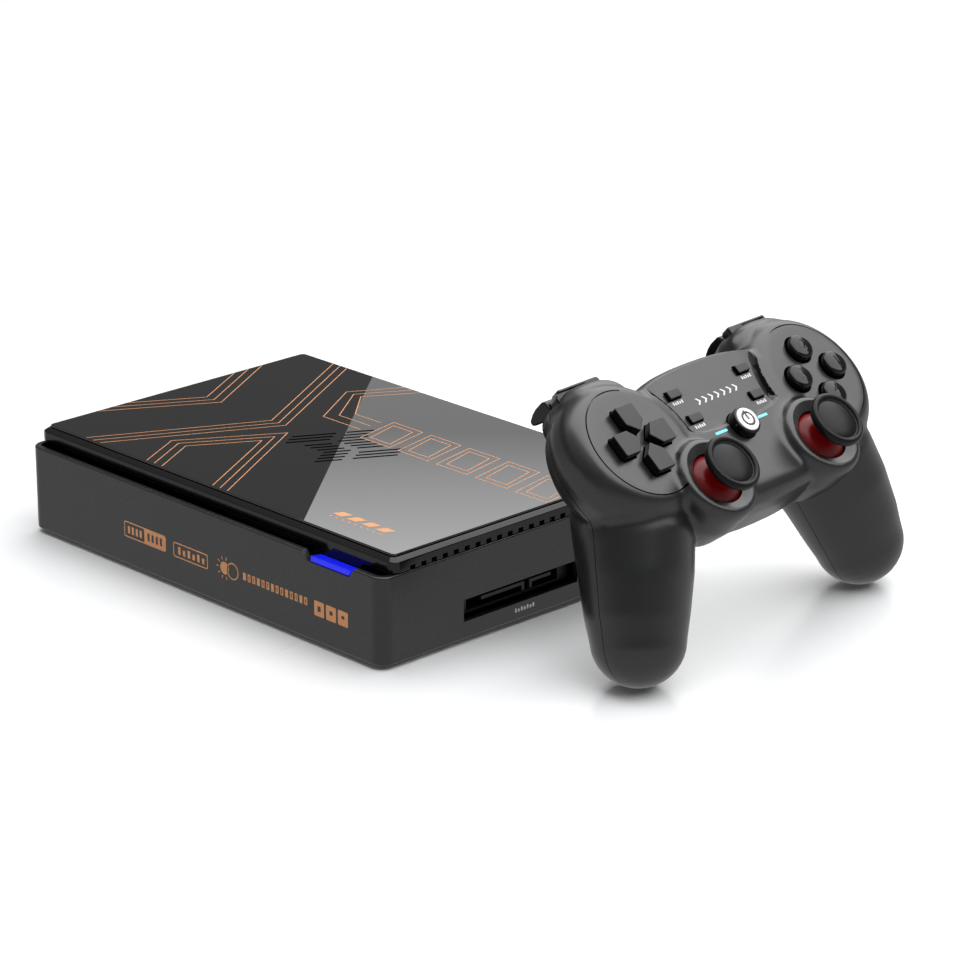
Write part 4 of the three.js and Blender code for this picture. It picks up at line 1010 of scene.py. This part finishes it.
def make_triggers():
    """Gloss triggers with fine grooves across the finger side."""
    outline = [(32, -13.2), (35.6, -13.6), (36.5, -15.2), (36.5, -19), (36.0, -21.4), (34.9, -24.1),
               (33.2, -24.4), (32.4, -23), (31.9, -21.4), (30.8, -18.6),
               (28.4, -17.4), (27.4, -15.6), (28.2, -13.8)]
    for name, side in SIDES.items():
        low, high = sorted((side * 37.0, side * 58.0))
        rings = [[(x, y, z) for y, z in outline] for x in (low, high)]
        piece = soften(from_rings(name + "_trigger_cap", rings), 0.7, 4, 50)
        grooves = []
        for i in range(3):
            z = -16.6 - 1.7 * i
            grooves.append(block("groove_tool", (low + 2, 36.1, z), (high - 2, 40, z + 0.6)))
        combine(piece, grooves)
        for_controller(piece, GLOSS_ABS, name + "_trigger", [name + "_trigger"])


# =====================================================================================
# The object
# =====================================================================================
make_tray()
make_lid()
make_panel()
make_line_art()
make_front_prints()
make_light_bar()
make_feet()
front_shell = make_shells()
make_direction_keys()
make_action_buttons()
make_face_prints(front_shell, make_small_keys(front_shell))
make_home_button()
make_home_lights()
make_sticks()
make_bumpers()
make_triggers()

SCREWS = ["case_screw_%d" % i for i in range(1, 5)]
INNER = {
    "main_board": (BOARD, 0.15), "controller_board": (BOARD, 0.15), "heat_sink": (ALUMINIUM, 0.15),
    "drive_socket": (CONNECTOR, 0.12), "power_socket": (CONNECTOR, 0.12),
    "controller_battery": (BATTERY_WRAP, 0.4),
    "left_stick_carrier": (CONNECTOR, 0.15), "right_stick_carrier": (CONNECTOR, 0.15),
    "left_stick_ring": (CONNECTOR, 0.1), "right_stick_ring": (CONNECTOR, 0.1),
}
for node in ("hdmi_socket", "network_socket", "usb_socket_left", "usb_socket_right",
             "controller_usb_socket", "left_rumble_motor", "right_rumble_motor",
             "left_rumble_weight", "right_rumble_weight", *SCREWS):
    INNER[node] = (STEEL, 0.1)
for node, (material, width) in INNER.items():
    dress_cad_node(node, material, width)

# =====================================================================================
# Floor, light and camera
# =====================================================================================
def make_floor():
    bpy.ops.object.select_all(action="DESELECT")
    bpy.ops.mesh.primitive_plane_add(size=6, location=(0, 0, -0.0002))
    floor = named("floor")
    material, tree, shader = new_material("white lacquered board")
    place = add_node(tree, "ShaderNodeTexCoord").outputs["Object"]
    cloud = add_node(tree, "ShaderNodeTexNoise", {"Vector": place, "Scale": 3.0})
    rough = add_node(tree, "ShaderNodeMapRange", {
        "Value": cloud.outputs["Fac"], "To Min": 0.22, "To Max": 0.3})
    tree.links.new(rough.outputs["Result"], shader.inputs["Roughness"])
    shader.inputs["Base Color"].default_value = linear("#f4f5f6")
    floor.data.materials.append(material)
    floor.visible_glossy = False


def area_light(name, place, target, size, power):
    """A square white lamp of a size in metres, turned towards a point."""
    data = bpy.data.lights.new(name, "AREA")
    data.energy = power
    data.shape = "SQUARE"
    data.size = size
    lamp = bpy.data.objects.new(name, data)
    lamp.location = place
    lamp.rotation_euler = (Vector(target) - Vector(place)).to_track_quat("-Z", "Y").to_euler()
    bpy.context.scene.collection.objects.link(lamp)
    return lamp


def make_softbox():
    """A tilted soft box behind the console: the panel mirrors it, brighter towards its top."""
    bpy.ops.object.select_all(action="DESELECT")
    bpy.ops.mesh.primitive_plane_add(size=1)
    card = named("softbox_front")
    across = Vector((0.6934, 0.7205, 0))
    away = Vector((-0.7205, 0.6934, 0))
    edge = across * -0.421 + Vector((0, 0, 0.907))
    inward = across * 0.907 + Vector((0, 0, 0.421))
    distance, width, length = 1.6, 1.4, 1.1
    on_edge = across * -0.061 + Vector((0, 0, 0.583))
    middle = CONSOLE + away * distance + on_edge + inward * width / 2
    turn = Matrix((inward * width, edge * length, away)).transposed().to_4x4()
    card.data.transform(Matrix.Translation(middle) @ turn)
    material = bpy.data.materials.new("lit diffuser cloth")
    material.use_nodes = True
    tree = material.node_tree
    tree.nodes.clear()
    place = add_node(tree, "ShaderNodeTexCoord").outputs["Object"]
    height = add_node(tree, "ShaderNodeSeparateXYZ", {"Vector": place}).outputs["Z"]
    level = add_node(tree, "ShaderNodeMapRange", {
        "Value": height, "From Min": 0.58, "From Max": 0.7, "To Min": 0.85, "To Max": 2.4})
    glow = add_node(tree, "ShaderNodeEmission", {"Strength": level.outputs["Result"]})
    add_node(tree, "ShaderNodeOutputMaterial", {"Surface": glow.outputs["Emission"]})
    card.data.materials.append(material)
    card.visible_camera = False


def make_lights():
    world = bpy.data.worlds.new("studio")
    world.use_nodes = True
    tree = world.node_tree
    sky = add_node(tree, "ShaderNodeTexCoord").outputs["Generated"]
    height = add_node(tree, "ShaderNodeSeparateXYZ", {"Vector": sky}).outputs["Z"]
    low = add_node(tree, "ShaderNodeMapRange", {
        "Value": height, "From Min": -0.1, "From Max": 0.2, "To Min": 0.6, "To Max": 0.17})
    high = add_node(tree, "ShaderNodeMapRange", {
        "Value": height, "From Min": 0.45, "From Max": 0.95, "To Min": 0.0, "To Max": 0.45})
    level = add_node(tree, "ShaderNodeMath")
    tree.links.new(low.outputs["Result"], level.inputs[0])
    tree.links.new(high.outputs["Result"], level.inputs[1])
    tree.links.new(level.outputs["Value"], tree.nodes["Background"].inputs["Strength"])
    tree.nodes["Background"].inputs["Color"].default_value = linear("#ffffff")
    bpy.context.scene.world = world
    bpy.context.scene.view_settings.view_transform = "Standard"
    overhead = area_light("overhead", (0.45, 1.0, 1.6), (0.45, 1.0, 0), 3.2, 80)
    overhead.visible_camera = False


def make_camera():
    data = bpy.data.cameras.new("camera")
    data.sensor_width = 36
    data.lens = 135.24
    camera = bpy.data.objects.new("camera", data)
    bpy.context.scene.collection.objects.link(camera)
    # The console is seen from 46.1 degrees round its front corner and 19.7 degrees above.
    azimuth, elevation = math.radians(46.097), math.radians(19.67)
    back = Vector((math.sin(azimuth) * math.cos(elevation), -math.cos(azimuth) * math.cos(elevation),
                   math.sin(elevation)))
    camera.location = CONSOLE + Vector((0.9135, -0.8092, 0.463))
    camera.rotation_euler = (-back).to_track_quat("-Z", "Y").to_euler()
    bpy.context.scene.camera = camera


make_floor()
make_softbox()
make_lights()
make_camera()
